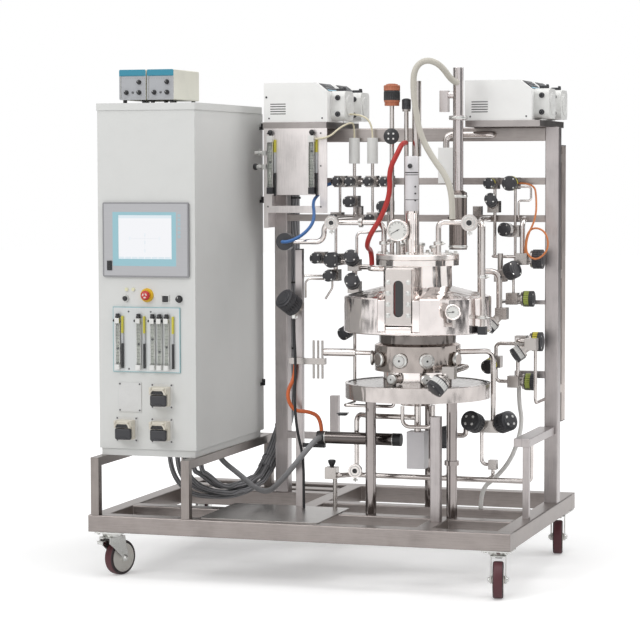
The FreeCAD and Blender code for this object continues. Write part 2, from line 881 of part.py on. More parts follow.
def make_panel_pumps():
    """Three small hose pumps on plates, each with a rotor well behind a swinging cover."""
    plates = [box(-678, "cabinet_front - pump_plate_sheet", 582, 87, "pump_plate_sheet", 105)]
    heads = []
    low_y = "cabinet_front - pump_plate_sheet - pump_head_depth"
    for number, (x, z) in PUMPS.items():
        plates.append(box("%s - pump_plate_width / 2" % x, "cabinet_front - pump_plate_sheet",
                          "%s - pump_plate_height / 2" % z, "pump_plate_width", "pump_plate_sheet",
                          "pump_plate_height"))
        left = "%s - pump_head_width / 2" % x
        low = "%s - pump_head_height / 2" % z
        cover_height = "pump_head_height - pump_top_height - face_gap"
        base = box(left, low_y, low, "pump_head_width", "pump_head_depth", "pump_head_height")
        well = rod("rotor_well", "rotor_depth", x, low_y, "%s - 7" % z, "back")
        roller_bar = rod("rotor_hub", "rotor_depth", x, low_y, "%s - 7" % z, "back")
        top = box(left, "cabinet_front - pump_plate_sheet - pump_top_depth",
                  "%s + pump_head_height - pump_top_height" % low, "pump_head_width",
                  "pump_top_depth - pump_head_depth", "pump_top_height")
        lever = box("%s + pump_head_width / 4" % left,
                    "cabinet_front - pump_plate_sheet - pump_top_depth - 5",
                    "%s + pump_head_height - 12" % low, "pump_head_width / 2", 5, 8)
        heads.append(fuse(cut(base, well), roller_bar, rounded(top, 5, Y_AXIS), lever))
        cover = rounded(box(left, "%s - face_gap - pump_cover_depth" % low_y, low,
                            "pump_head_width", "pump_cover_depth", cover_height), 6, Y_AXIS)
        node("pump_cover_%d" % number, cover)
    node("pump_plates", group(plates))
    node("pump_heads", group(heads))


def make_instruments():
    """Two bench meters on the cabinet: case, recessed face, feet and three knobs each."""
    cases = []
    knobs = []
    base = "cabinet_top + instrument_foot"
    for number in (0, 1):
        left = "instrument_left + %d * (instrument_width + instrument_gap)" % number
        case = rounded(box(left, "instrument_front", base, "instrument_width", "instrument_depth",
                           "instrument_height"), 4, Y_AXIS)
        recess = box(left + " + 5", "instrument_front", base + " + 5", "instrument_width - 10", 3,
                     "instrument_height - 26")
        feet = [rod(7, "instrument_foot", "%s + %s" % (left, across), "instrument_front + %s" % deep,
                    "cabinet_top")
                for across in (14, "instrument_width - 14") for deep in (20, "instrument_depth - 20")]
        cases.append(fuse(cut(case, recess), *feet))
        for across, up in ((26, 26), (74, 26), (74, 62)):
            knobs.append(rod("instrument_knob_radius", "instrument_knob_height",
                             "%s + %s" % (left, across), "instrument_front + 3 - instrument_knob_height",
                             "%s + %s" % (base, up), "back"))
    node("instrument_cases", group(cases))
    node("instrument_knobs", group(knobs))


# ---------------------------------------------------------------- process frame


def make_process_frame():
    """Posts, portal beam, rails and stub posts that carry the vessel's equipment."""
    tall = "portal_top - base_top"
    span_left = "left_post_x + post_tube"
    span = "right_post_x - left_post_x - post_tube"
    parts = []
    for x in ("left_post_x", "right_post_x"):
        parts.append(rounded(box(x, "post_y", "base_top", "post_tube", "post_tube", tall), 4, Z_AXIS))
    parts.append(rounded(box(span_left, "post_y", "portal_top - post_tube", span, "post_tube",
                             "post_tube"), 4, X_AXIS))
    for z in ("low_rail_z", "high_rail_z"):
        parts.append(box(span_left, "post_y", z, span, "rail_tube", "rail_tube"))
    parts.append(box(540, "post_y", "upper_stub_z", "right_post_x - 540", "thin_rail", "thin_rail"))
    parts.append(box(600, "post_y", "lower_stub_z", "right_post_x - 600", "rail_tube", "rail_tube"))
    parts.append(box(span_left, "post_y", "side_rail_z", 197, "rail_tube", "rail_tube"))
    parts.append(box(-108, "post_y", "side_rail_z + rail_tube", 30, 30, 140))
    parts.append(box("light_post_x", "light_post_y", "base_top + shelf_sheet", "rail_tube", "rail_tube",
                     "light_post_top - base_top - shelf_sheet"))
    centre = box("short_beam_x + (base_tube - centre_post_tube) / 2", "centre_post_y", "base_top",
                 "centre_post_tube", "centre_post_tube", "centre_post_top - base_top")
    parts.append(rounded(centre, 4, Z_AXIS))
    parts.append(box("arm_post_x", "arm_post_y", "base_top", "arm_post_tube", "arm_post_tube",
                     "arm_bottom - base_top"))
    arm_front = "arm_post_y - 4"
    arm_span = "post_y - arm_post_y"
    parts.append(box("arm_post_x - 3", arm_front, "arm_bottom", "arm_height", arm_span, "arm_height"))
    parts.append(box("arm_post_x - 3 - arm_height", arm_front, "arm_bottom", "arm_height",
                     arm_span, "arm_height"))
    parts.append(box("duct_x", "duct_y", "duct_bottom", "rail_tube", "duct_depth",
                     "duct_top - duct_bottom"))
    for z in (620, 1040, 1460):
        parts.append(box("duct_x", "post_y + post_tube", z, "rail_tube",
                         "duct_y - post_y - post_tube", 30))
    node("process_frame", group(parts))


TRAYS = (("left_tray_x", "left_tray_length"), ("right_tray_x", "right_tray_length"))


def make_pump_trays():
    """Folded trays, open below, that rest across the portal beam."""
    parts = []
    for x, length in TRAYS:
        outer = box(x, "tray_front", "portal_top", length, "tray_depth", "tray_height")
        hollow = box("%s + tray_sheet" % x, "tray_front + tray_sheet", "portal_top",
                     "%s - 2 * tray_sheet" % length, "tray_depth - 2 * tray_sheet",
                     "tray_height - tray_sheet")
        parts.append(cut(outer, hollow))
    node("pump_trays", group(parts))


PUMP_ROWS = ("hose_pump_front", "hose_pump_front + hose_pump_pitch")


def make_hose_pumps():
    """Four hose pumps in pairs, with a sloped keypad corner and a head at the right end."""
    cases = []
    heads = []
    base = "portal_top + tray_height"
    for x in ("left_pump_x", "right_pump_x"):
        for y in PUMP_ROWS:
            cases.append(extruded("Case", "XZ_Plane", [
                (0, 0),
                ("hose_pump_length", 0),
                ("hose_pump_length", "hose_pump_height - hose_pump_slope"),
                ("hose_pump_length - hose_pump_slope * 1.3", "hose_pump_height"),
                (0, "hose_pump_height"),
            ], "hose_pump_depth", x, y, base))
            head = box("%s + hose_pump_length" % x,
                       "%s + (hose_pump_depth - hose_head_width) / 2" % y, base + " + 6",
                       "hose_head_length", "hose_head_width", "hose_head_height")
            shaped = rounded(head, "hose_head_round", X_AXIS)
            latch = box("%s + hose_pump_length + 10" % x,
                        "%s + hose_pump_depth / 2 - 18" % y, base + " + hose_head_height + 6",
                        28, 36, 7)
            heads.append(fuse(shaped, latch))
    node("top_pump_cases", group(cases))
    node("top_pump_heads", group(heads))


def make_flow_bracket(tubes):
    """A folded plate with a window, two tall flow meters and their end fittings."""
    tall = "portal_top - bracket_bottom"
    plate = box("bracket_left", "tray_front", "bracket_bottom", "bracket_width", "bracket_sheet", tall)
    window = box("window_left", "tray_front", "window_bottom", "window_width", "bracket_sheet",
                 "window_height")
    foot = box("bracket_left", "tray_front", "bracket_foot", 17, "bracket_sheet",
               "bracket_bottom - bracket_foot")
    side = box("bracket_left", "tray_front + bracket_sheet", "bracket_foot", "bracket_sheet",
               "post_y - tray_front - bracket_sheet", "portal_top - bracket_foot")
    parts = [fuse(cut(plate, window), foot), side]
    for number, x in enumerate(("column_left_x", "column_right_x"), 1):
        centre_y = "tray_front - 14"
        for z in ("column_base_z", "column_base_z + column_rise"):
            parts.append(box("%s - 11" % x, "tray_front - 26", z, 22, 26, 24))
        tubes.append(rod("column_tube_radius", "column_rise - 24", x, centre_y, "column_base_z + 24"))
        ball = doc.addObject("Part::Sphere", "Ball")
        bind(ball, Radius="ball_knob_radius")
        place(ball, x, centre_y, "column_base_z + column_rise + 36")
        stem = rod(4, 12, x, centre_y, "column_base_z + column_rise + 24 + face_gap")
        node("rotameter_knob_%d" % number, fuse(ball, stem))
    for z in (1498, 1447):
        parts.append(rod(8, 30, "bracket_left - 30", "tray_front - 9", z, "right"))
        parts.append(box("bracket_left", "tray_front - 18", "%s - 9" % z, 14, 18, 18))
    node("rotameter_bracket", group(parts))
    node("rotameter_tubes", group(tubes))


# ---------------------------------------------------------------- vessel


def make_vessel_shell():
    """The closed vessel with its flange, port band and the nozzle of the sight glass."""
    inner = "shell_radius - shell_wall"
    shell = turned("Shell", [
        (0, "vessel_bottom"),
        ("shell_radius * 0.55", "vessel_bottom + 6"),
        ("shell_radius * 0.85", "vessel_bottom + 19"),
        ("shell_radius", "dish_top"),
        ("shell_radius", "band_bottom"),
        ("band_radius", "band_bottom"),
        ("band_radius", "band_top"),
        ("neck_radius", "band_top + 8"),
        ("neck_radius", "jacket_bottom - 10"),
        ("shell_radius", "jacket_bottom - 6"),
        ("shell_radius", "flange_bottom"),
        ("flange_radius", "flange_bottom"),
        ("flange_radius", "flange_joint"),
        (inner, "flange_joint"),
        (inner, "dish_top"),
        ("(%s) * 0.85" % inner, "vessel_bottom + 22"),
        ("(%s) * 0.55" % inner, "vessel_bottom + 10"),
        (0, "vessel_bottom + shell_wall"),
    ], "vessel_x", "vessel_y")
    stubs = [radial("port_radius", "port_length + 6", "band_radius - 6", angle, "port_row_z")
             for angle in (228, 263, 297, 345, 195)]
    low_stubs = [radial("port_radius - 5", "port_length + 26", "shell_radius - 3", angle,
                        "support_top + 22") for angle in (250, 297)]
    nozzle = box("vessel_x - nozzle_width / 2", "nozzle_front", "nozzle_bottom", "nozzle_width",
                 "vessel_y - (nozzle_front)", "nozzle_top - nozzle_bottom")
    outside = rod("shell_radius + face_gap", "nozzle_top - nozzle_bottom", "vessel_x", "vessel_y",
                  "nozzle_bottom")
    bore = rod(inner, "flange_joint - dish_top", "vessel_x", "vessel_y", "dish_top")
    slot = rounded(box("vessel_x - slot_width / 2", "nozzle_front", "slot_bottom", "slot_width",
                       "shell_radius * 2", "slot_top - slot_bottom"), "slot_width / 2 - 0.1", Y_AXIS)
    walls = cut(fuse(shell, *stubs, *low_stubs), bore, slot)
    node("vessel_shell", group([walls, cut(nozzle, outside, slot)]))


def make_vessel_jacket():
    """The insulated jacket: a drum with a coned shoulder, notched for the sight glass."""
    fit = "shell_radius + face_gap"
    drum = turned("Jacket", [
        (fit, "jacket_bottom"),
        ("jacket_radius - 3", "jacket_bottom"),
        ("jacket_radius", "jacket_bottom + 3"),
        ("jacket_radius", "jacket_top - 4"),
        ("jacket_radius - 5", "jacket_top"),
        (fit, "shoulder_top"),
    ], "vessel_x", "vessel_y")
    notch = extruded("Notch", "YZ_Plane", [
        ("vessel_y - jacket_radius - 10", "jacket_bottom + 8"),
        ("vessel_y - shell_radius * 0.75", "nozzle_bottom - 2"),
        ("vessel_y - shell_radius * 0.75", "shoulder_top + 10"),
        ("vessel_y - jacket_radius - 10", "shoulder_top + 10"),
    ], "notch_width", "vessel_x - notch_width / 2")
    node("vessel_jacket", cut(drum, notch))


def make_head_plate():
    """The lid with its nozzles and a ring of hexagon bolts."""
    disc = turned("Lid", [
        (0, "flange_joint"),
        ("flange_radius", "flange_joint"),
        ("flange_radius", "lid_top - 3"),
        ("flange_radius - 3", "lid_top"),
        (0, "lid_top"),
    ], "vessel_x", "vessel_y")
    bore = rod("shaft_radius + running_gap", "lid_top - flange_joint", "agitator_x", "agitator_y",
               "flange_joint")
    bolts = []
    for number in range(10):
        x, y, z = around(number * 36 + 18, "lid_bolt_circle", "lid_top")
        bolt = doc.addObject("Part::Prism", "Bolt")
        bolt.Polygon = 6
        bind(bolt, Circumradius="lid_bolt_radius * 1.1", Height="lid_bolt_height")
        bolts.append(place(bolt, x, y, z))
    ports = []
    for angle, reach, tall in ((100, 88, 34), (60, 84, 26), (140, 96, 34)):
        x, y, z = around(angle, reach, "lid_top")
        ports.append(fuse(rod("ring_radius - 4", tall, x, y, z),
                          rod("ring_radius", "ring_width", x, y, "lid_top + %s - ring_width" % tall)))
    node("head_plate", group([cut(disc, bore)] + bolts + ports))


def make_vessel_legs():
    """Three round legs under a folded support ring."""
    ring = turned("SupportRing", [
        ("shell_radius + face_gap", "support_top"),
        ("support_radius", "support_top"),
        ("support_radius", "support_bottom"),
        ("support_radius - support_sheet", "support_bottom"),
        ("support_radius - support_sheet", "support_top - support_sheet"),
        ("shell_radius + face_gap", "support_top - support_sheet"),
    ], "vessel_x", "vessel_y")
    parts = [ring]
    for angle in (210, 330, 90):
        x, y, z = around(angle, "leg_circle", "base_top")
        parts.append(rod("leg_radius", "support_top - support_sheet - base_top", x, y, z))
    x, y, z = around(330, "leg_circle", 406)
    parts.append(cut(rod("leg_radius + 7", 16, x, y, z), rod("leg_radius + face_gap", 16, x, y, z)))
    node("vessel_legs", group(parts))


def make_sight_glass():
    """A bolted frame that holds a glass pane against the vessel's nozzle."""
    width = "nozzle_width - 4"
    left = "vessel_x - nozzle_width / 2 + 2"
    low = "nozzle_bottom + 4"
    tall = "nozzle_top - nozzle_bottom - 8"
    front = "nozzle_front - sight_sheet"
    plate = rounded(box(left, front, low, width, "sight_sheet", tall), 6, Y_AXIS)
    slot_left = "vessel_x - slot_width / 2"
    slot = rounded(box(slot_left, front, "slot_bottom", "slot_width", "sight_sheet",
                       "slot_top - slot_bottom"), "slot_width / 2 - 0.1", Y_AXIS)
    pane_box = ["slot_width + 2 * glass_margin", "slot_top - slot_bottom + 2 * glass_margin"]
    pocket = box(slot_left + " - glass_margin", "nozzle_front - glass_sheet", "slot_bottom - glass_margin",
                 pane_box[0], "glass_sheet", pane_box[1])
    bolts = [rod(5, 6, "vessel_x + %d * 36" % side, front + " - 6", "slot_bottom + %d" % up, "back")
             for side in (-1, 1) for up in (6, 44, 82, 120)]
    node("sight_frame", group([cut(plate, slot, pocket)] + bolts))
    node("sight_glass", box(slot_left + " - glass_margin", "nozzle_front - glass_sheet",
                            "slot_bottom - glass_margin", pane_box[0], "glass_sheet", pane_box[1]))


def make_gauges():
    """A pressure dial on the lid and a small one at the jacket."""
    large = fuse(
        cone("dial_radius - 3", "dial_radius", 5, "dial_x", "dial_y - dial_depth", "dial_z", "back"),
        rod("dial_radius", "dial_depth - 5", "dial_x", "dial_y - dial_depth + 5", "dial_z", "back"),
        rod("stem_radius", "dial_z - lid_top", "dial_x", "dial_y - dial_depth / 2", "lid_top"))
    angle = -50
    x, y, _ = around(angle, "jacket_radius + 38", 0)
    z = 951
    small = fuse(
        rod("small_dial_radius", 14, x, "%s - 14" % y, z, "back"),
        rod("stem_radius", "small_dial_radius + 28", x, y, "%s - small_dial_radius - 28" % z),
        radial("stem_radius", "38 - face_gap", "jacket_radius + face_gap", angle, "%s - 46" % z))
    node("gauges", group([large, small]))


def make_agitator():
    """The drive on its lantern, and the shaft with two bladed impellers."""
    bore = rod("shaft_radius + running_gap", "motor_bottom - lid_top", "agitator_x", "agitator_y",
               "lid_top")
    lantern = rod("lantern_radius", "motor_bottom - lid_top", "agitator_x", "agitator_y", "lid_top")
    motor = rod("motor_radius", "motor_top - motor_bottom", "agitator_x", "agitator_y", "motor_bottom")
    node("agitator_drive", fuse(cut(lantern, bore), motor))
    parts = [rod("shaft_radius", "motor_bottom - face_gap - shaft_bottom", "agitator_x", "agitator_y",
                 "shaft_bottom")]
    for z in ("shaft_bottom", "shaft_bottom + 150"):
        parts.append(rod("impeller_hub", "impeller_height", "agitator_x", "agitator_y", z))
        for wide, deep in (("2 * impeller_radius", "blade_sheet"), ("blade_sheet", "2 * impeller_radius")):
            parts.append(box("agitator_x - (%s) / 2" % wide, "agitator_y - (%s) / 2" % deep, z,
                             wide, deep, "impeller_height"))
    node("agitator_shaft", fuse(*parts))


def make_exhaust_column():
    """The condenser and the tall exhaust tube above it, held by an arm from the low rail."""
    tube = turned("Column", [
        (0, "condenser_bottom"),
        ("condenser_radius", "condenser_bottom"),
        ("condenser_radius", "condenser_step - 8"),
        ("column_radius", "condenser_step"),
        ("column_radius", 1610),
        ("column_radius + 14", 1612),
        ("column_radius + 14", 1626),
        ("column_radius", 1628),
        ("column_radius", "column_top"),
        (0, "column_top"),
    ], "condenser_x", "condenser_y")
    arm_z = "low_rail_z + (rail_tube - condenser_arm) / 2"
    arm = box("condenser_x - condenser_arm / 2", "condenser_y + condenser_radius", arm_z, "condenser_arm",
              "post_y - condenser_y - condenser_radius", "condenser_arm")
    band = rod("condenser_radius + band_sheet", "condenser_arm", "condenser_x", "condenser_y", arm_z)
    inside = rod("condenser_radius + face_gap", "condenser_arm", "condenser_x", "condenser_y", arm_z)
    trap = fuse(rod(12, 47, 395, "condenser_y", 1700, "right"),
                box(377, "condenser_y - 15", 1640, 30, 30, 76))
    node("exhaust_column", group([fuse(tube, trap), cut(fuse(band, arm), inside)]))


# ---------------------------------------------------------------- piping

RAIL_Y = "post_y - valve_block / 2"
LOW_Y = "post_y - valve_block / 2 - rail_gap"
VALVES = [
    # centre of each block, heading of the actuator, radius and length of the actuator
    (-60, -22, 1118, (0, -1, 0), 20, 45),
    (0, -22, 1112, (0, -1, 0), 28, 45),
    (67, -22, 1092, (0.05, -0.87, 0.48), 26, 42),
    (-10, -22, 1055, (0, -1, 0), 21, 45),
    (67, -22, 1012, (0.1, -0.9, 0.42), 27, 42),
    (570, 136, 1052, (0.8, -0.45, 0.35), 32, 42),
    (605, 175, 968, (1, 0, 0), 29, 46),
    (642, 168, 1112, (1, 0, 0), 35, 45),
    (640, 168, 814, (1, 0, 0), 35, 45),
    (697, 76, 811, (-0.75, -0.3, -0.55), 28, 42),
    (612, 172, 667, (1, 0, 0), 31, 46),
    (590, 70, 920, (-0.62, -0.35, -0.7), 26, 42),
    (512, -372, 742, (-0.5, -0.55, -0.66), 33, 50),
    (417, 0, 484, (0, -1, 0), 39, 57),
    (534, 0, 520, (-0.25, -0.9, 0.3), 36, 60),
    ("534 + valve_block", 0, 520, (0.75, -0.55, 0.3), 36, 60),
    (-56, RAIL_Y, 1392, (0, -1, 0), 17, 45),
    (-4, RAIL_Y, 1392, (0, -1, 0), 17, 45),
    (66, RAIL_Y, 1392, (0, -1, 0), 17, 45),
    (126, RAIL_Y, 1392, (0, -1, 0), 17, 45),
    (-70, RAIL_Y, 1257, (0, -1, 0), 15, 45),
    (70, RAIL_Y, 1257, (0, -1, 0), 15, 45),
    (524, RAIL_Y, 1385, (0, -1, 0), 20, 45),
    (600, RAIL_Y, 1385, (0, -1, 0), 27, 45),
    (-4, LOW_Y, 1318, (0, -1, 0), 20, 45),
    (126, LOW_Y, 1300, (0, -1, 0), 22, 45),
    (530, LOW_Y, 1300, (0, -0.9, 0.42), 22, 42),
    (606, LOW_Y, 1212, (-0.35, -0.9, 0.1), 25, 42),
    (545, 168, 738, (-0.2, -0.95, -0.2), 26, 42),
    (67, -22, 868, (-0.35, -0.9, -0.3), 24, 42),
]


def above(centre):
    """The upper or right face of a valve's block with that centre."""
    return "%s + valve_block / 2" % centre


def below(centre):
    """The lower or left face of a valve's block with that centre."""
    return "%s - valve_block / 2" % centre


LINES = [
    # points of each thin line between the rails, the valves and the vessel, radius and bend
    ([(above(-4), RAIL_Y, 1392), (below(66), RAIL_Y, 1392)], 6, 15),
    ([(above(66), RAIL_Y, 1392), (below(126), RAIL_Y, 1392)], 6, 15),
    ([(-60, RAIL_Y, below(1392)), (-60, RAIL_Y, above(1257))], 5, 15),
    ([(66, RAIL_Y, below(1392)), (66, RAIL_Y, above(1257))], 5, 15),
    ([(-4, RAIL_Y, below(1392)), (-4, RAIL_Y, above(1318))], 5, 15),
    ([(-4, RAIL_Y, below(1318)), (-4, RAIL_Y, 1262), (-4, -22, 1262), (-4, -22, above(1112))], 5, 20),
    ([(126, RAIL_Y, below(1392)), (126, RAIL_Y, above(1300))], 5, 15),
    ([(126, RAIL_Y, below(1300)), (126, RAIL_Y, 1210), (126, -22, 1210), (75, -22, 1210),
      (75, -22, above(1092))], 5, 18),
    ([(530, RAIL_Y, below(1385)), (530, RAIL_Y, above(1300))], 6, 15),
    ([(530, RAIL_Y, below(1300)), (530, RAIL_Y, 1120), (530, 168, 1120), (below(642), 168, 1120)], 6, 15),
    ([(606, RAIL_Y, below(1385)), (606, RAIL_Y, above(1212))], 5, 15),
    ([(606, RAIL_Y, below(1212)), (606, RAIL_Y, 1060), (606, 183, 1060), (606, 183, above(968))], 5, 12),
    ([(below(640), 168, 805), (545, 168, 805), (545, 168, above(738))], 7, 18),
    ([(545, 168, below(738)), (545, 168, 667), (below(612), 168, 667)], 7, 18),
    ([(712, 76, below(811)), (712, 76, 600), (712, "post_y", 600)], 6, 20),
    ([(417, 0, below(484)), (417, 0, 341), (417, -90.5, 341)], 8, 20),
    ([(534, 0, below(520)), (534, 0, 383), (561, 0, 383)], 7, 18),
    ([(576, 0, 366), (576, 0, 341), (576, -90.5, 341)], 7, 18),
    ([(67, -22, below(1012)), (67, -22, above(868))], 6, 15),
    ([(67, -22, below(868)), (67, -22, 596), (67, "vessel_y", 596), (250, "vessel_y", 596),
      (250, "vessel_y", 611)], 6, 12),
    ([(above(600), RAIL_Y, 1372), (664, RAIL_Y, 1372), (664, RAIL_Y, 1322), (618, RAIL_Y, 1322),
      (618, RAIL_Y, 1256), (618, "post_y", 1256)], "sample_radius", 10),
]


def diaphragm_valve(x, y, z, heading, radius, length):
    """A square body with its neck, and the stepped drum of its actuator."""
    aim = Vector(*heading).normalize()
    block = box("%s - valve_block / 2" % x, "%s - valve_block / 2" % y, "%s - valve_block / 2" % z,
                "valve_block", "valve_block", "valve_block")
    corner = sum(abs(part) for part in aim)
    reach = "max(valve_block / 2 + bonnet_length; valve_block / 2 * %.6f + 1)" % corner
    neck = aimed("min(bonnet_radius; %s - 2)" % radius, reach, x, y, z, aim)
    rings = []
    for inset, begin, end in (("rim_step", "0", "rim_height + 1"), ("0", "rim_height", length),
                              ("cap_step", "%s - 1" % length, "%s + rim_step" % length)):
        foot = ["%s + %.6f * (%s + %s)" % (at, part, reach, begin)
                for at, part in zip((x, y, z), aim)]
        rings.append(aimed("%s - %s" % (radius, inset), "%s - (%s)" % (end, begin), *foot, aim))
    return fuse(block, neck), fuse(*rings)


def link(points, radius="pipe_radius", bend="small_bend"):
    """A short pipe between two valves."""
    return pipe(points, radius, bend)


def clamped(run, x, y, z, heading):
    """A straight run of pipe with the ring of a pipe clamp around it."""
    return fuse(run, aimed("ring_radius", "ring_width", x, y, z, Vector(*heading)))


def make_process_pipes():
    """Rigid stainless pipework between the vessel, the valve rows and the frame."""
    half = "valve_block / 2"
    shell_left = "vessel_x - shell_radius - face_gap"
    # inlet loop from the lid to the left, with its clamp and the sampling branch
    inlet = pipe([(222, -175, "lid_top"), (222, -175, "inlet_z"), (0, -175, "inlet_z"),
                  (0, -175, 1180), (-113, -175, 1180)])
    inlet[2] = fuse(inlet[2], rod("pipe_radius - 1", 46, "inlet_clamp_x", -221, "inlet_z", "back"),
                    rod("clamp_radius", "clamp_length", "inlet_clamp_x", -235, "inlet_z", "back"))
    inlet[0] = clamped(inlet[0], 222, -175, 1172, (0, 0, 1))
    inlet[2] = clamped(inlet[2], 132, -175, "inlet_z", (1, 0, 0))
    parts = inlet + [rod(31, 34, -144, -192, 1180, "back")]
    # outlet loop from the lid to the right, down in front of the jacket
    outlet = link([(420, -175, "lid_top"), (420, -175, "outlet_z"), (530, -175, "outlet_z"),
                   (598, -252, "outlet_z"), (598, -252, 894)])
    outlet[4] = fuse(outlet[4], rod("pipe_radius - 1", 72, "outlet_clamp_x", -278, "outlet_z", "back"),
                     rod("clamp_radius + 4", "clamp_length", "outlet_clamp_x", -278, "outlet_z", "back"))
    outlet[0] = clamped(outlet[0], 420, -175, 1172, (0, 0, 1))
    for z in (920, 1060):
        outlet[6] = clamped(outlet[6], 598, -252, z, (0, 0, 1))
    parts += outlet + [box(584, -266, 866, 28, 28, 28)]
    # links between the left valves and to the vessel
    parts += link([("-60 + %s" % half, -22, 1115), ("0 - %s" % half, -22, 1115)])
    parts += link([(half, -22, 1102), ("67 - %s" % half, -22, 1102)])
    parts += link([(-5, -22, "1055 + %s" % half), (-5, -22, "1112 - %s" % half)], 8)
    parts += link([(67, -22, "1012 + %s" % half), (67, -22, "1092 - %s" % half)])
    parts += link([("67 + %s" % half, -22, 1085), (140, -22, 1085), (160, "vessel_y", 1085),
                   (shell_left, "vessel_y", 1085)])
    # bent sample tubes below the left valves
    for x, z in ((-136, 1052), (-120, 1040)):
        parts += link([(x, -22, 971), (x, -22, z), ("-10 - %s" % half, -22, z)],
                      "sample_radius")
    parts += link([(-18, -22, "1055 - %s" % half), (-18, -22, 1008), (-44, -22, 968)],
                  "sample_radius", 14)
    # links between the right valves and from them to the frame
    parts += link([(563, 136, "1052 - %s" % half), (563, 136, 952.5), (563, "post_y", 952.5)], 7)
    parts.append(rod(6, "post_y - 175 - %s" % half, 605, "175 + %s" % half, 954, "back"))
    parts += pipe([(642, 168, "1112 + %s" % half), (642, 168, 1256), (642, "post_y", 1256)])
    parts.append(rod(7, "814 - 667 - valve_block", 626, 170, "667 + %s" % half))
    parts += link([(640, "168 - %s" % half, 822), (640, 76, 822), ("697 - %s" % half, 76, 822)], 8)
    parts.append(rod(8, "post_y - 172 - %s" % half, 612, "172 + %s" % half, 680, "back"))
    tall = pipe([(509, 70, 897), (509, 70, 1256), (509, "post_y", 1256)])
    tall[0] = fuse(tall[0], rod("pipe_radius", 22, 509, 70, 1070, "right"))
    parts += tall + pipe([(531, 70, 1070), (580, 70, 1070), (580, 70, "920 + %s" % half)], 11)
    # links between the lower valves, to the port band and to the valve beside it
    parts += link([("417 + %s" % half, 0, 484), (476, 0, 484), (476, 0, 520),
                   ("534 - %s" % half, 0, 520)], bend=15)
    parts += pipe([around(31.78, 281, "520 + %s" % half), around(31.78, 281, 790),
                   around(31.78, "band_radius + face_gap", 790)])
    parts += link([(519, "%s - 372" % half, 745), (519, "vessel_y", 745),
                   ("vessel_x + band_radius + face_gap", "vessel_y", 745)])
    for points, radius, bend in LINES:
        parts += link(points, radius, bend)
    # drain line along the base, the hand valve's riser and the bottom outlet
    drain = link([("hand_valve_x + %s" % half, "hand_valve_y", 341), (45, "hand_valve_y", 341),
                  (75, -100, 341), (736, -100, 341), (736, -100, "arm_bottom")])
    drain[4] = fuse(drain[4], rod("pipe_radius - 1", 30, 98, -100, 341),
                    rod("pipe_radius - 1.5", 28, 98, -128, 358, "back"),
                    rod("clamp_radius", "clamp_length", 98, -128, 358, "back"))
    riser = pipe([(98, -100, 371), (98, -100, 560), (180, "vessel_y", 560), ("vessel_x", "vessel_y", 560)],
                 bend=26)
    riser[-1] = fuse(riser[-1], rod(12, "vessel_bottom - 511", "vessel_x", "vessel_y", 511))
    parts += drain + riser
    left, right = "vessel_x - shell_radius / 3", "vessel_x + shell_radius * 0.58"
    front = "vessel_y - shell_radius * 0.43"
    parts += pipe([(left, front, "vessel_bottom + 4"), (left, front, 532), (right, front, 532),
                   (right, front, "vessel_bottom + 10")], 7, 26)
    # sensor probe into the port band
    parts.append(fuse(rod(14, 118, -8, "vessel_y", 785, "right"),
                      rod(8, "vessel_x - band_radius - face_gap - 100", 100, "vessel_y", 785, "right")))
    # risers from the lid with their clamps, to the actuators above the beam
    for x, y, top in ((238, -130, 1660), (286, -112, 1640)):
        parts.append(fuse(rod(8, "%s - lid_top" % top, x, y, "lid_top"), rod(17, 10, x, y, 1178)))
    parts.append(fuse(rod(9, "1482 - lid_top", 322, -106, "lid_top"), rod(16, 265, 322, -106, 1482)))
    # two vent filters on the high rail and the vent line beside them
    for x in (-4, 66):
        parts.append(fuse(rod(6, 60, x, RAIL_Y, "1392 + %s" % half),
                          rod(20, 95, x, RAIL_Y, "1392 + %s + 45" % half)))
    parts += link([(348, 205, 1515), (348, 205, 1562), (520, 205, 1562), (520, "post_y", 1562)], 11.5)
    node("process_pipes", group(parts))


def make_valves():
    """Every valve body in one node and every actuator in another."""
    bodies = []
    actuators = []
    for valve in VALVES:
        body, drum = diaphragm_valve(*valve)
        bodies.append(body)
        actuators.append(drum)
    bodies.append(rod(10, 60, 568, 136, "1052 + valve_block / 2"))
    manifold = box(-135, "light_post_y - 22", 741, 135, 22, 22)
    sticks = [rod(4, 137, x, "light_post_y - 11", 690) for x in (-45, -28, -12)]
    bodies.append(fuse(manifold, *sticks))
    bodies.append(box("hand_valve_x - valve_block / 2", "hand_valve_y - valve_block / 2",
                      "hand_valve_z - valve_block / 2", "valve_block", "valve_block", "valve_block"))
    bodies.append(rod(8, "hand_valve_z - valve_block / 2 - base_top - shelf_sheet", "hand_valve_x + 12",
                      "hand_valve_y", "base_top + shelf_sheet"))
    bodies.append(box("vessel_x - 32", "vessel_y - 30", 380, 64, 60, 131))
    bodies.append(box(561, -15, 366, 30, 30, 34))
    for x in (-15, 442):
        bodies.append(box(x, "post_y", "low_rail_z + rail_tube", 32, "rail_tube", 32))
    bodies.append(box(322, "post_y - 42", "high_rail_z + 5", 70, 42, 130))
    node("valve_bodies", group(bodies))
    aim = Vector(-0.45, -0.7, 0.55).normalize()
    post_centre = "light_post_x + rail_tube / 2"
    actuators.append(fuse(rod(12, 40, post_centre, "light_post_y - 40", 948, "back"),
                          rod(9, 25, -104, -205, 905),
                          aimed(38, 80, post_centre + " + 4", "light_post_y - 31", 940, aim)))
    for x, y, z, radius, tall in ((238, -130, 1660, 29, 78), (286, -112, 1640, 16, 46)):
        actuators.append(rod(radius, tall, x, y, z))
    node("valve_actuators", group(actuators))


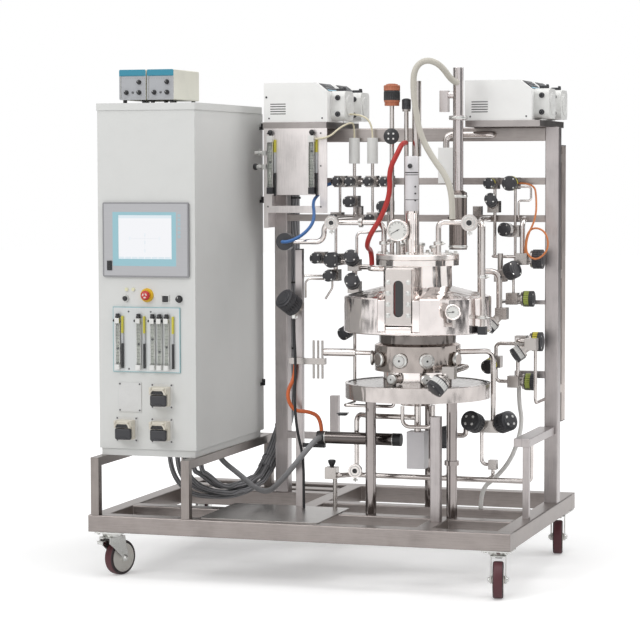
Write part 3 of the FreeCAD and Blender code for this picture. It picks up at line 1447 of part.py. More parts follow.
def make_heater():
    """A jacket heater: a polished tube with black end caps on an arm from the light post."""
    y = "light_post_y + rail_tube / 2"
    tube = rod("heater_radius - 1", "heater_length - 2 * heater_cap", "heater_x + heater_cap", y,
               "heater_z", "right")
    caps = [rod("heater_radius", "heater_cap", x, y, "heater_z", "right")
            for x in ("heater_x", "heater_x + heater_length - heater_cap")]
    arm = box("light_post_x + rail_tube", y + " - 8", "heater_z - heater_radius - face_gap - 14",
              "heater_x + heater_cap - light_post_x - rail_tube", 16, 14)
    node("heater_cylinder", group([tube, arm] + caps))


def make_hand_valve_knob():
    """The funnel-shaped knob of the hand valve."""
    knob = cone("hand_knob_radius - 7", "hand_knob_radius", "hand_knob_height", "hand_valve_x",
                "hand_valve_y", "hand_valve_z + valve_block / 2 + face_gap")
    node("hand_valve_knob", knob)


# ---------------------------------------------------------------- cables and hoses

LOOM_TIE = Vector(-370, 245, 303)
LOOM_BEND = Vector(-353, 323, 372)
STRAND_RADIUS = 9
TRUNK_RADIUS = 31


def make_cable_loom():
    """Five strands from the cabinet's floor that join in a trunk behind the left post."""
    heading = (LOOM_BEND - LOOM_TIE).normalize()
    across = heading.cross(Z_AXIS).normalize()
    upward = across.cross(heading)
    path = [(-424, -120, 262), (-402, -20, 254), (-390, 75, 256), (-380, 150, 266)]
    parts = []
    for number, around_tie in enumerate((270, 198, 342, 126, 54)):
        start_x = STRAND_X + STRAND_PITCH * number
        angle = math.radians(around_tie)
        side = 20 * math.cos(angle)
        lift = 20 * math.sin(angle)
        points = [(start_x, STRAND_Y, value("cabinet_bottom")), (start_x, STRAND_Y, 345),
                  (start_x + 0.4 * (side - 430 - start_x), -176, 298 + 2.2 * lift)]
        points += [(x + side, y, z + lift) for x, y, z in path]
        end = LOOM_TIE + across * side + upward * lift
        points += [tuple(end - heading * 55), tuple(end)]
        parts.append(cord("Strand", points, STRAND_RADIUS))
    trunk = [tuple(LOOM_TIE), tuple(LOOM_BEND), (-304, 326, 520), (-288, 326, 815), (-288, 322, 1220),
             (-288, 322, value("portal_top + tray_height - tray_sheet - face_gap"))]
    parts.append(cord("Trunk", trunk, TRUNK_RADIUS))
    node("cable_loom", group(parts))


HOSES = {
    # radius, then the points of the route
    "braided": (10, [(-24, -159.8, 477), (-24, -200, 477), (-55, -220, 436), (-110, -200, 375),
                     (-180, -160, 305), (-240, -105, 264), (-305, -62, 272), (-368, -50, 318),
                     (-432, -54, 364), (-446, -56, 390), (-446, -56, 424.7)]),
    "motor_lead": (5, [(-104, -205, 904.7), (-104, -205, 850), (-95, -218, 784), (-92, -225, 710),
                       (-96, -224, 640), (-95, -221, 570), (-91, -206, 495), (-83, -178, 425),
                       (-80, -171, 355), (-81, -170, 288), (-80, -170, 223.3)]),
    "red": (9, [(286, -120.3, 1530), (286, -165, 1530), (280, -203, 1494), (249, -206, 1434),
                (254, -206, 1353), (222, -206, 1270), (178, -206, 1205), (152, -160, 1162),
                (150, -84, 1146), (150, -84, 1095.2)]),
    "cream": (11, [(470, -175, 1261.8), (470, -172, 1330), (450, -160, 1404), (387, -150, 1482),
                   (346, -150, 1560), (331, -150, 1640), (321, -150, 1720), (325, -150, 1790),
                   (362, -136, 1822), (412, -120, 1804), (442, -66, 1744), (442, -4.9, 1744)]),
    "silicone_long": (3.5, [(-21.7, 202, 1640), (28, 202, 1640), (66, 209, 1603), (66, 209, 1553.3)]),
    "silicone_short": (3.5, [(-118.7, 86, 1549), (-68, 86, 1549), (-36, 126, 1590), (-6, 182, 1612),
                             (-4, 209, 1596), (-4, 209, 1553.3)]),
    "white": (8, [(630, 172, 645.7), (630, 172, 590), (652, 132, 530), (648, 84, 460),
                  (625, 52, 390), (575, 50, 330), (525, 24, 290), (525, 24, 220.3)]),
    "blue": (6, [(-77.3, 209, 1385), (-112, 209, 1385), (-125, 150, 1345), (-122, 70, 1320),
                 (-76, -50, 1275), (-58, -130, 1240), (-70, -200, 1205), (-105, -240, 1182),
                 (-144, -240, 1180), (-144, -192.3, 1180)]),
    "coil": (3.5, [(655, 156, 1133.3), (655, 156, 1190), (688, 128, 1230), (740, 116, 1215),
                   (752, 116, 1150), (708, 114, 1108), (668, 114, 1130), (668, 118, 1190),
                   (700, 130, 1260), (692, 175, 1330), (676, 209, 1385), (621.3, 209, 1385)]),
    "orange": (7, [(-115, -160, 740.7), (-115, -160, 694), (-140, -190, 636), (-114, -190, 574),
                   (-62, -166, 572), (-26, -138, 548), (-24, -136.5, 500.3)]),
}


def cord(name, points, radius):
    """A flexible tube whose arcs are as large as its runs allow."""
    item = doc.addObject("Part::Feature", name)
    shape, radii, length = swept(points, radius)
    item.Shape = shape
    item.Placement = FreeCAD.Placement()
    print("%s: radii %s, length %.0f" % (name, [round(bend) for bend in radii], length))
    return item


def make_hoses():
    """The single hoses and leads that hang between the fittings."""
    node("hoses", group([cord(name.title(), points, radius)
                         for name, (radius, points) in HOSES.items()]))


# ---------------------------------------------------------------- build


def build():
    """Makes every sub-part."""
    make_base_frame()
    make_shelf_plate()
    make_castor_plates()
    for name, (x, y, angle) in CASTORS.items():
        make_castor_fork(name, x, y, angle)
        make_castor_wheel(name, x, y, angle)
    make_cabinet_stand()
    make_cabinet_body()
    make_cabinet_cap()
    make_cabinet_door()
    make_operator_panel()
    make_control_fittings()
    make_controls()
    tubes = make_flow_meters()
    make_panel_pumps()
    make_instruments()
    make_process_frame()
    make_pump_trays()
    make_hose_pumps()
    make_flow_bracket(tubes)
    make_vessel_shell()
    make_vessel_jacket()
    make_head_plate()
    make_vessel_legs()
    make_sight_glass()
    make_gauges()
    make_agitator()
    make_exhaust_column()
    make_process_pipes()
    make_valves()
    make_heater()
    make_hand_valve_knob()
    make_cable_loom()
    make_hoses()
    doc.recompute()


def check():
    """Stops the build where an object failed or a sub-part has no sound shape."""
    for item in doc.Objects:
        if "Invalid" in item.State or "Error" in item.State:
            raise RuntimeError("%s failed: %s" % (item.Label, item.State))
    labels = [item.Label for item in nodes]
    if len(set(labels)) != len(labels):
        raise RuntimeError("two sub-parts share a name")
    for item in nodes:
        if item.Shape.isNull() or not item.Shape.isValid() or not item.Shape.Solids:
            raise RuntimeError("%s has no sound shape" % item.Label)


build()
check()
os.makedirs("parts", exist_ok=True)
for item in nodes:
    item.Shape.exportStep("parts/%s.step" % item.Label)
print("%d sub-parts written" % len(nodes))
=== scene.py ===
"""Looks of a pilot bioreactor on a castered stainless frame, built round its CAD model.

Metres. The origin is the centre of the base on the floor: +X runs to the right along the
front of the base, +Y to the back and +Z up.
"""

import math

import bpy
from mathutils import Matrix, Vector


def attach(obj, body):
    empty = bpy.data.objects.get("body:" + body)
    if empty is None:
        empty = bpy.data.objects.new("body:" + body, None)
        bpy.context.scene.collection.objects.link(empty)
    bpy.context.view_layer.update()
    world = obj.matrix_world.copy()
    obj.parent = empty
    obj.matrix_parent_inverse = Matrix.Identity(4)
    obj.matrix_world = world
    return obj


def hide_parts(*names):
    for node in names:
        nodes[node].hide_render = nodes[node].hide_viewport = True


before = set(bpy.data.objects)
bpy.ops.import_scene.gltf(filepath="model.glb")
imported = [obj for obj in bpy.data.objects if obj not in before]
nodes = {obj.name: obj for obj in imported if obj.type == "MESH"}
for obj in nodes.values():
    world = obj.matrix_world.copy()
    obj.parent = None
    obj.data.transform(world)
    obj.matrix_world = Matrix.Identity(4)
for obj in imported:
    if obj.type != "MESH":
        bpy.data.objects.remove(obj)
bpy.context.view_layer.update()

# ---------------------------------------------------------------- base frame
# Square tube of 60 mm, 4 mm corners, TIG welded at the mitres and cross beams, then ground
# along each tube to a satin finish. The welds are brushed over and keep a faint heat tint.


class Value:
    """A socket in a material's tree, so that sums are written as in Python."""

    def __init__(self, finish, socket):
        self.finish = finish
        self.socket = socket

    def sum_of(self, operation, *others):
        return self.finish.add("ShaderNodeMath", {"operation": operation}, *others)

    def __add__(self, other): return self.sum_of("ADD", self, other)
    def __radd__(self, other): return self.sum_of("ADD", other, self)
    def __sub__(self, other): return self.sum_of("SUBTRACT", self, other)
    def __rsub__(self, other): return self.sum_of("SUBTRACT", other, self)
    def __mul__(self, other): return self.sum_of("MULTIPLY", self, other)
    def __rmul__(self, other): return self.sum_of("MULTIPLY", other, self)
    def __mod__(self, other): return self.sum_of("FLOORED_MODULO", self, other)
    def __pow__(self, other): return self.sum_of("POWER", self, other)
    def __gt__(self, other): return self.sum_of("GREATER_THAN", self, other)
    def __lt__(self, other): return self.sum_of("LESS_THAN", self, other)
    def __abs__(self): return self.sum_of("ABSOLUTE", self)

    def between(self, low, high):
        """0 below low, 1 above high, and smooth on the way."""
        return self.finish.add("ShaderNodeMapRange", {"interpolation_type": "SMOOTHSTEP"},
                               want="Result", Value=self, From_Min=low, From_Max=high)


class Finish:
    """A material whose Principled surface is fed by what the methods return."""

    def __init__(self, name, **plain):
        self.material = bpy.data.materials.new(name)
        self.material.use_nodes = True
        self.tree = self.material.node_tree
        self.surface = next(n for n in self.tree.nodes if n.type == "BSDF_PRINCIPLED")
        self.feed(**plain)

    def plug(self, socket, given):
        if isinstance(given, Value):
            self.tree.links.new(given.socket, socket)
        elif socket.type == "RGBA":
            socket.default_value = (*given[:3], 1)
        else:
            socket.default_value = given

    def feed(self, **given):
        for name, item in given.items():
            self.plug(self.surface.inputs[name.replace("_", " ")], item)
        return self

    def add(self, kind, settings=None, *listed, want=None, **named):
        """Any node: its settings, its inputs in order or by name, and the output wanted."""
        made = self.tree.nodes.new(kind)
        for name, setting in (settings or {}).items():
            setattr(made, name, setting)
        for socket, given in zip(made.inputs, listed):
            self.plug(socket, given)
        for name, given in named.items():
            socket = next(s for s in made.inputs if s.enabled and s.name == name.replace("_", " "))
            self.plug(socket, given)
        outputs = [s for s in made.outputs if s.enabled and want in (None, s.name)]
        return Value(self, outputs[0])

    def place(self, scale=(1, 1, 1)):
        """Object coordinates, stretched."""
        spot = self.add("ShaderNodeTexCoord", want="Object")
        return self.add("ShaderNodeMapping", None, Vector=spot, Scale=scale)

    def axis(self, letter, want="Object"):
        """One coordinate of the place, or of the UV map."""
        spot = self.add("ShaderNodeTexCoord", want=want)
        return self.add("ShaderNodeSeparateXYZ", None, spot, want=letter)

    def noise(self, scale, detail=3, rough=0.55, spot=None):
        return self.add("ShaderNodeTexNoise", want="Fac", Vector=spot or self.place(), Scale=scale,
                        Detail=detail, Roughness=rough)

    def blend(self, first, second, share):
        """A colour part of the way from the first to the second."""
        mixed = self.tree.nodes.new("ShaderNodeMix")
        mixed.data_type = "RGBA"
        for index, given in ((0, share), (6, first), (7, second)):
            self.plug(mixed.inputs[index], given)
        return Value(self, mixed.outputs[2])

    def bump(self, height, strength, distance, normal=None):
        extra = {"Normal": normal} if normal else {}
        return self.add("ShaderNodeBump", None, Strength=strength, Distance=distance, Height=height,
                        **extra)

    def soft_edge(self, radius):
        """Normals as if the sharp edges had that radius."""
        return self.add("ShaderNodeBevel", {"samples": 4}, Radius=radius)

    def onto(self, *objects):
        """Puts the finish on the objects in place of what they had."""
        for item in objects:
            mesh = item.data
            mesh.materials.clear()
            mesh.materials.append(self.material)
            if item.type == "MESH":
                for polygon in mesh.polygons:
                    polygon.material_index = 0
        return self

    def over(self, piece):
        """Puts the finish on a new piece and hands it back."""
        self.onto(piece)
        return piece


def satin_steel(name, color, along, edge=0.003, rough=0.34):
    """Ground stainless: long scratches along one axis over cloudy, slightly uneven metal."""
    finish = Finish(name, Metallic=1.0)
    stretch = [900.0, 900.0, 900.0]
    stretch["XYZ".index(along)] = 12.0
    scratches = finish.noise(1, 2, 0.7, finish.place(stretch))
    clouds = finish.noise(9, 4, 0.6)
    worn = finish.noise(70, 2)
    dark = [c * 0.72 for c in color]
    tone = finish.blend(dark, color, (scratches * 0.5 + clouds * 0.5).between(0.3, 0.62))
    finish.feed(Base_Color=tone, Roughness=rough - 0.06 + clouds * 0.12 + worn * 0.06,
                Normal=finish.bump(scratches, 0.12, 0.0003, finish.soft_edge(edge)))
    return finish


satin_steel("ground_tube", (0.33, 0.295, 0.28), "X", 0.004).onto(nodes["base_frame"])

# ---------------------------------------------------------------- shelf plate
# A 3 mm stainless sheet laid over the front beams, brushed lengthwise, with worn patches
# where bottles have stood.

satin_steel("shelf_sheet", (0.44, 0.42, 0.405), "X", 0.002, 0.30).onto(nodes["shelf_plate"])

# ---------------------------------------------------------------- castors
# Swivel castors: a zinc-plated pressed fork on a bolted plate, and a pale polyamide wheel with
# a burgundy polyurethane tread that is bonded on and dark along both edges.


def only(*pieces):
    """Selects just those pieces; the first is the active one."""
    bpy.ops.object.select_all(action="DESELECT")
    for piece in pieces:
        piece.select_set(True)
    bpy.context.view_layer.objects.active = pieces[0]


def edited(piece, *steps):
    """Runs each operator with its settings on all of the mesh, then shades it."""
    only(piece)
    bpy.ops.object.mode_set(mode="EDIT")
    for operator, settings in steps:
        bpy.ops.mesh.select_all(action="SELECT")
        operator(**settings)
    bpy.ops.mesh.select_all(action="SELECT")
    bpy.ops.mesh.normals_make_consistent(inside=False)
    bpy.ops.object.mode_set(mode="OBJECT")
    bpy.ops.object.shade_smooth_by_angle(angle=math.radians(32))
    return piece


def lathe(name, profile, steps=48):
    """A turned body: a profile of (radius, height) in mm spun about Z."""
    mesh = bpy.data.meshes.new(name)
    mesh.from_pydata([(radius / 1000, 0, height / 1000) for radius, height in profile],
                     [(n, n + 1) for n in range(len(profile) - 1)], [])
    piece = bpy.data.objects.new(name, mesh)
    bpy.context.scene.collection.objects.link(piece)
    return edited(piece, (bpy.ops.mesh.spin, {"steps": steps, "angle": math.tau, "center": (0, 0, 0),
                                              "axis": (0, 0, 1)}),
                  (bpy.ops.mesh.remove_doubles, {"threshold": 1e-5}))


def block(name, low, high, soft=1.0, segments=2):
    """A box between two corners in mm with its edges beveled."""
    bpy.ops.object.select_all(action="DESELECT")
    bpy.ops.mesh.primitive_cube_add(size=1)
    piece = bpy.context.object
    piece.name = name
    low, high = Vector(low) / 1000, Vector(high) / 1000
    piece.data.transform(Matrix.Translation((low + high) / 2) @ Matrix.Diagonal((*(high - low), 1)))
    return edited(piece, (bpy.ops.mesh.bevel, {"offset": soft / 1000, "segments": segments,
                                               "affect": "EDGES"}))


def tinted(piece, finish, *others):
    """The first finish all over, and each other one where its test of centre and normal holds."""
    finish.onto(piece)
    for number, (other, test) in enumerate(others, 1):
        piece.data.materials.append(other.material)
        for face in piece.data.polygons:
            if test(face.center * 1000, face.normal):
                face.material_index = number
    return piece


def stamped(source, name, spot, aim=(0, 0, 1), spin=0, body="skid", slot=None, stretch=(1, 1, 1)):
    """A copy with its own mesh at a place in mm, its Z axis turned to the aim."""
    piece = source.copy()
    piece.data = source.data.copy()
    piece.name = name
    bpy.context.scene.collection.objects.link(piece)
    aim = Vector(aim).normalized()
    swing = Matrix() if aim.z > 0.999 else aim.to_track_quat("Z", "Y").to_matrix().to_4x4()
    piece.data.transform(Matrix.Translation(Vector(spot) / 1000) @ swing
                         @ Matrix.Rotation(math.radians(spin), 4, "Z") @ Matrix.Diagonal((*stretch, 1)))
    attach(piece, body)
    return piece


def joined(*pieces):
    """One piece of several that are fixed together for good."""
    only(*pieces)
    bpy.ops.object.join()
    return pieces[0]


def discard(*patterns):
    """Removes the pieces that were only there to be copied."""
    for pattern in patterns:
        bpy.data.objects.remove(pattern)


def moulded(name, color, rough=0.45, grain=300, relief=0.1, dull=0.9):
    """Moulded or sprayed surface: a faint grain, and a little dust that dulls it."""
    finish = Finish(name)
    fine = finish.noise(grain, 3)
    dust = finish.noise(11, 4, 0.65)
    tone = finish.blend([c * dull for c in color], color, (fine * 0.3 + dust * 0.7).between(0.25, 0.6))
    finish.feed(Base_Color=tone, Roughness=rough - 0.06 + dust * 0.14,
                Normal=finish.bump(fine, relief, 0.0002, finish.soft_edge(0.0012)))
    return finish


def bright_steel(name, color, rough=0.16, edge=0.0012, waves=0.0):
    """Polished stainless: fine lines round the part, faint clouds, and the waves of rolled sheet."""
    finish = Finish(name, Metallic=1.0)
    polish = finish.noise(1, 2, 0.6, finish.place((25, 25, 700)))
    clouds = finish.noise(6, 4, 0.6)
    tone = finish.blend([c * 0.86 for c in color], color, clouds.between(0.3, 0.65))
    normal = finish.bump(polish, 0.04, 0.0002, finish.soft_edge(edge))
    if waves:
        normal = finish.bump(finish.noise(1, 2, 0.5, finish.place((16, 16, 5))), waves, 0.02, normal)
    finish.feed(Base_Color=tone, Roughness=rough - 0.05 + clouds * 0.1 + polish * 0.03, Normal=normal)
    return finish


zinc = bright_steel("zinc_plate", (0.66, 0.66, 0.64), 0.27, 0.002)
tread_rubber = moulded("tread_burgundy", (0.085, 0.018, 0.024), 0.5, 500, 0.3)
tread_edge = moulded("tread_edge", (0.022, 0.012, 0.014), 0.55, 500, 0.3)
wheel_core = moulded("wheel_core", (0.66, 0.64, 0.60), 0.4)
half_wheel = [(6.2, 22.5), (11, 22.5), (13.4, 21.4), (14.5, 18), (16, 14.2), (26, 13), (38, 13.6),
              (46.5, 14.4), (48.5, 17.2), (51.2, 18), (52, 17.4), (56, 18), (59.6, 17), (61.6, 14.6),
              (62.4, 10.5), (62.5, 4)]
wheel = lathe("castor_wheel", half_wheel + [(r, -h) for r, h in reversed(half_wheel)] + [half_wheel[0]],
              72)
tinted(wheel, wheel_core,
       (tread_edge, lambda spot, way: math.hypot(spot.x, spot.y) > 51.5),
       (tread_rubber, lambda spot, way: math.hypot(spot.x, spot.y) > 60.4 and abs(spot.z) < 13))
nut = lathe("axle_nut", [(0, 7.5), (4, 7.2), (7, 5.6), (8.4, 3), (9, 0), (12.5, 0), (12.5, -1.4),
                         (0, -1.4)], 24)
bolt = lathe("hex_bolt", [(0, 5.2), (4.6, 5.2), (6, 4.4), (6, 0), (0, 0)], 6)
washer = lathe("washer", [(0, 1.2), (8.5, 1.2), (9, 0.8), (9, 0), (0, 0)], 24)
bolt = zinc.over(joined(bolt, washer))
zinc.onto(nut)
castors = {  # where the swivel stands, in mm, and which way it trails, in degrees
    "front_left": (-691, -488, 248), "front_right": (711, -480, 102),
    "back_left": (-711, 480, 282), "back_right": (711, 480, 101)}
wheel_radius = 62.5
trail = 38
for corner, (x, y, angle) in castors.items():
    turn = math.radians(angle)
    forward = Vector((math.cos(turn), math.sin(turn), 0))
    aside = Vector((-math.sin(turn), math.cos(turn), 0))
    hub = Vector((x, y, wheel_radius)) - forward * trail
    rolling = stamped(wheel, "wheel_" + corner, hub, aside, body="wheel_" + corner, slot="caster_tread")
    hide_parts("caster_wheel_" + corner)
    fork = "fork_" + corner
    for side in (1, -1):
        stamped(nut, f"axle_nut_{corner}_{side}", hub + aside * side * 28.4, aside * side, body=fork,
                slot="zinc")
    pedal = block("pedal", (30, -13, 128), (66, 13, 131), 1.2)
    step = block("step", (58, -13, 118), (63, 13, 130), 1.2)
    for part in (pedal, step):
        part.data.transform(Matrix.Translation((x / 1000, y / 1000, 0)) @ Matrix.Rotation(turn, 4, "Z"))
    pedal = joined(pedal, step)
    pedal.name = "brake_pedal_" + corner
    zinc.onto(pedal)
    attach(pedal, fork)
    for along in (-40, 40):
        for across_plate in (-30, 30):
            stamped(bolt, f"plate_bolt_{corner}_{along}_{across_plate}",
                    (x + along, y + across_plate, 155), (0, 0, -1), slot="zinc")
    zinc.onto(nodes["caster_fork_" + corner])
zinc.onto(nodes["caster_plates"])
discard(wheel, nut)

# ---------------------------------------------------------------- cabinet stand and cabinet
# The stand is 30 mm square tube welded to the base. The cabinet is folded steel sheet with a
# fine-textured pale grey powder coat; black hinges and cable glands are screwed on.

satin_steel("stand_tube", (0.29, 0.26, 0.245), "Z", 0.002).onto(nodes["cabinet_stand"])
cabinet_paint = moulded("cabinet_coat", (0.70, 0.705, 0.69), 0.46, 1400, 0.08, dull=0.965)
black_moulding = moulded("black_moulding", (0.016, 0.016, 0.018), 0.42, 900, 0.2)
tinted(nodes["cabinet_body"], cabinet_paint,
       (black_moulding, lambda spot, way: spot.x > -384.6 or spot.z < 424.8))
tinted(nodes["cabinet_door"], cabinet_paint, (black_moulding, lambda spot, way: spot.x > -385.8))
cabinet_paint.onto(nodes["cabinet_cap"])
screw = lathe("pan_screw", [(0, 1.0), (0.9, 1.0), (0.9, 1.9), (2.2, 1.7), (3.1, 0.9), (3.3, 0), (0, 0)],
              16)
bright_steel("screw_oxide", (0.13, 0.13, 0.135), 0.3).onto(screw)
ahead = (0, -1, 0)


def screwed(name, xs, y, zs, aim=ahead, **more):
    """Screws in rows and columns on a plate that faces the aim, in mm."""
    for x in xs:
        for z in zs:
            stamped(screw, f"{name}_screw_{x}_{z}", (x, y, z), aim, slot="zinc", **more)


screwed("side", (-738, -399), 274, (470, 1050, 1630), (0, 1, 0), body="door")

# ---------------------------------------------------------------- operator panel
# A brushed aluminium bezel clamped to the cabinet's front, with a blue-green membrane around
# the display and a strip of soft keys at the right. The display is lit and almost blank.

bezel = Finish("bezel_aluminium", Metallic=0.55)
grain = bezel.noise(1, 2, 0.6, bezel.place((10, 10, 900)))
x, z = bezel.axis("X"), bezel.axis("Z")
membrane = (x > -0.693) * (x < -0.453) * (z > 1.099) * (z < 1.289)
keys = (x > -0.447) * (x < -0.436) * (z > 1.198) * (z < 1.286) * (((z - 1.198) % 0.0147) < 0.0105)
rim = ((x < -0.7255) + (x > -0.4115) + (z < 1.0655) + (z > 1.3175)).between(0, 1)
plain = bezel.blend(bezel.blend((0.40, 0.40, 0.415), (0.46, 0.46, 0.475), grain), (0.27, 0.27, 0.28),
                    rim)
bezel.feed(Base_Color=bezel.blend(plain, (0.30, 0.50, 0.56), (membrane + keys * 0.6).between(0, 1)),
           Roughness=0.42 - grain * 0.1,
           Normal=bezel.bump(grain, 0.05, 0.0002, bezel.soft_edge(0.0015)))
bezel.onto(nodes["hmi_bezel"])
display = Finish("display", Roughness=0.25)
x, z = display.axis("X"), display.axis("Z")
marks = 0
for at_x, at_z in ((-0.628, 1.196), (-0.571, 1.209), (-0.571, 1.152), (-0.516, 1.196), (-0.571, 1.182)):
    marks = marks + (abs(x - at_x) < 0.0035) * (abs(z - at_z) < 0.006)
lines = ((abs(z - 1.196) < 0.0008) * (abs(x + 0.572) < 0.05)
         + (abs(x + 0.571) < 0.0008) * (abs(z - 1.18) < 0.03))
bars = (z > 1.267) + (z < 1.1315) * (((x + 0.671) % 0.0251) < 0.022)
picture = display.blend(
    display.blend((0.97, 0.98, 1.0), (0.60, 0.68, 0.75), (marks + lines * 0.5) * 0.5),
    (0.62, 0.80, 0.88), bars.between(0, 1) * 0.55)
display.surface.inputs["Emission Strength"].default_value = 0.8
display.feed(Base_Color=display.blend((0.1, 0.1, 0.11), (0.2, 0.2, 0.2), marks.between(0, 1)),
             Emission_Color=picture)
display.onto(nodes["hmi_screen"])
ribs = black_moulding.over(joined(*[
    block(f"flap_rib_{n}", (-712, -463.2, 1087 + 6 * n), (-698, -461.6, 1090 + 6 * n), 0.6)
    for n in range(5)]))
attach(ribs, "skid")

# ---------------------------------------------------------------- push buttons and switches
# Two pale signal lamps, a black push button, a red emergency stop on a yellow collar, a
# rocker in a bright frame and a small selector, all fixed through holes in the front.

yellow_moulding = moulded("yellow_collar", (0.80, 0.50, 0.02), 0.38)
lamp_lens = moulded("lamp_lens", (0.78, 0.76, 0.52), 0.2)
red_moulding = moulded("stop_red", (0.52, 0.018, 0.02), 0.28)
tinted(nodes["control_fittings"], black_moulding,
       (yellow_moulding, lambda spot, way: abs(spot.x + 567) < 27 and spot.z < 1025),
       (lamp_lens, lambda spot, way: spot.z > 1009 and spot.x < -600 and spot.y > -456),
       (zinc, lambda spot, way: abs(spot.x + 497) < 15 or abs(spot.x + 648) < 14 and spot.z < 1000))
stop_head = lathe("stop_head", [(0, 13.2), (3.5, 13.4), (4.2, 14), (9.5, 13.6), (13.5, 12.2), (16, 9.4),
        (17, 6), (16.6, 2.6), (14.4, 0.2), (11, 0), (11, -6.5), (0, -6.5)])
tinted(stop_head, red_moulding,
       (moulded("stop_arrow", (0.75, 0.62, 0.58), 0.35),
        lambda spot, way: 6 < math.hypot(spot.x, spot.y) < 9.4 and spot.z > 10
        and math.atan2(spot.y, spot.x) % 2.094 < 1.3))
piece = stamped(stop_head, "stop_button", (-567, -462.3, 996), ahead, body="estop", slot="red_plastic")
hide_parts("estop_button")
dome = black_moulding.over(lathe("dome_button",
        [(0, 4.2), (5, 3.9), (8, 2.8), (9, 1.2), (9, -3.8), (0, -3.8)], 32))
piece = stamped(dome, "dome_push_button", (-648, -457.8, 984), ahead, body="button",
                slot="black_plastic")
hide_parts("push_button")
knurled = lathe("selector", [(0, 16.5), (7.4, 16.5), (8.2, 15.6), (9.6, 3), (10, 2.4), (10, 0), (0, 0)],
                32)
pointer = block("pointer", (-0.9, 2, 16), (0.9, 9.6, 17.6), 0.3)
black_moulding.onto(knurled)
moulded("pointer_white", (0.75, 0.75, 0.73), 0.4).onto(pointer)
selector = joined(knurled, pointer)
piece = stamped(selector, "selector_knob", (-446, -452.3, 984), ahead, body="selector",
                slot="black_plastic")
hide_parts("control_knob")
black_moulding.onto(nodes["rocker_switch"])

# ---------------------------------------------------------------- panel flow meters
# Five glass tube meters screwed to a brushed plate that has a thin blue-green outline. Each has
# a grooved back strip with a scale, a black needle knob and a white foot; three have strips.

plate = Finish("meter_plate", Metallic=0.35)
grain = plate.noise(1, 2, 0.6, plate.place((700, 10, 12)))
x, z = plate.axis("X"), plate.axis("Z")
outline = (abs(x + 0.569) > 0.1248) + (abs(z - 0.839) > 0.1128)
plate.feed(Base_Color=plate.blend(plate.blend((0.56, 0.58, 0.58), (0.66, 0.67, 0.67), grain),
                                  (0.24, 0.44, 0.47), outline.between(0, 1)),
           Roughness=0.4, Normal=plate.bump(grain, 0.05, 0.0002, plate.soft_edge(0.001)))
white_moulding = moulded("white_moulding", (0.80, 0.80, 0.78), 0.35)
tinted(nodes["flowmeter_panel"], plate,
       (white_moulding, lambda spot, way: spot.y < -455.6 and spot.z < 760),
       (zinc, lambda spot, way: spot.y < -455.6 and spot.z > 890))
scale_strip = Finish("scale_strip", Metallic=0.3, Roughness=0.4)
x, z = scale_strip.axis("X"), scale_strip.axis("Z")
streaks = scale_strip.noise(1, 2, 0.5, scale_strip.place((900, 10, 10)))
tick = (z % 0.012 < 0.0014) + (z % 0.060 < 0.0022)
scale_strip.feed(Base_Color=scale_strip.blend(
    scale_strip.blend((0.52, 0.50, 0.45), (0.70, 0.68, 0.62), streaks), (0.12, 0.12, 0.11),
    tick.between(0, 1) * 0.7))
glass = Finish("meter_glass", Roughness=0.06, IOR=1.3)
glass.surface.inputs["Transmission Weight"].default_value = 0.9
film = glass.noise(30, 3)
glass.feed(Base_Color=glass.blend((0.86, 0.90, 0.88), (0.95, 0.97, 0.96), film),
           Normal=glass.bump(film, 0.03, 0.0002))
glass.onto(nodes["rotameter_tubes"])
charcoal = moulded("charcoal", (0.035, 0.035, 0.04), 0.38, 700, 0.25)
strip_yellow = moulded("strip_yellow", (0.62, 0.56, 0.06), 0.5)
strip_grey = moulded("strip_grey", (0.50, 0.51, 0.52), 0.5)
float_ball = charcoal.over(lathe("float", [(0, 4), (2.2, 3.2), (3.6, 0.8), (1.6, -4), (0, -5)], 20))
needle_knob = black_moulding.over(lathe("needle_knob",
        [(0, 16), (5.4, 16), (6.6, 15.2), (7.6, 12), (6.4, 9.6), (8.3, 6.4), (8.5, 2),
         (7, 0.4), (0, 0.4)], 28))


def scale_channel(name, x, back, half, gap, reach, low, high):
    """A printed back strip between two bright rails that stand forward of it."""
    channel = scale_strip.over(block(name, (x - half, back - reach[0], low), (x + half, back, high),
            0.8))
    rails = [block("rail", (x + side - 1, back - reach[1], low), (x + side + 1, back - reach[2], high),
                   0.5)
             for side in (-gap, gap)]
    zinc.onto(*rails)
    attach(joined(channel, *rails), "skid")


def color_strip(x, half, front, back, spans, names=("strip", "strip", "strip")):
    """A yellow, a grey and a black field one below the other, as one glued strip."""
    fields = [block(name, (x - half, front, low), (x + half, back, high), 0.6)
              for name, (low, high) in zip(names, spans)]
    for field, finish in zip(fields, (strip_yellow, strip_grey, black_moulding)):
        finish.onto(field)
    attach(joined(*fields), "skid")


for number, x in enumerate((-674, -595, -542, -516, -489), 1):
    scale_channel(f"meter_back_{number}", x, -455, 8, 7.5, (3, 11, 0), 751, 897)
    stamped(float_ball, f"meter_float_{number}", (x, -465, 790 + 17 * number % 60),
            slot="charcoal_plastic")
    piece = stamped(needle_knob, f"meter_knob_{number}", (x, -465, 915), body=f"flow_needle_{number}",
                    slot="black_plastic")
    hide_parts(f"flow_knob_{number}")
    stub = black_moulding.over(lathe("meter_inlet",
            [(0, 9), (3.4, 9), (4.4, 8), (4.4, 2), (6.5, 2), (6.5, 0), (0, 0)], 20))
    stub.data.transform(Matrix.Translation((x / 1000 - 0.0085, -0.465, 0.906))
                        @ Matrix.Rotation(-math.pi / 2, 4, "Y"))
    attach(stub, "skid")
for x in (-658, -575, -467):
    color_strip(x, 3.2, -464, -455, ((862, 922), (826, 861.6), (738, 825.6)),
                ("strip_upper", "strip_middle", "strip_lower"))

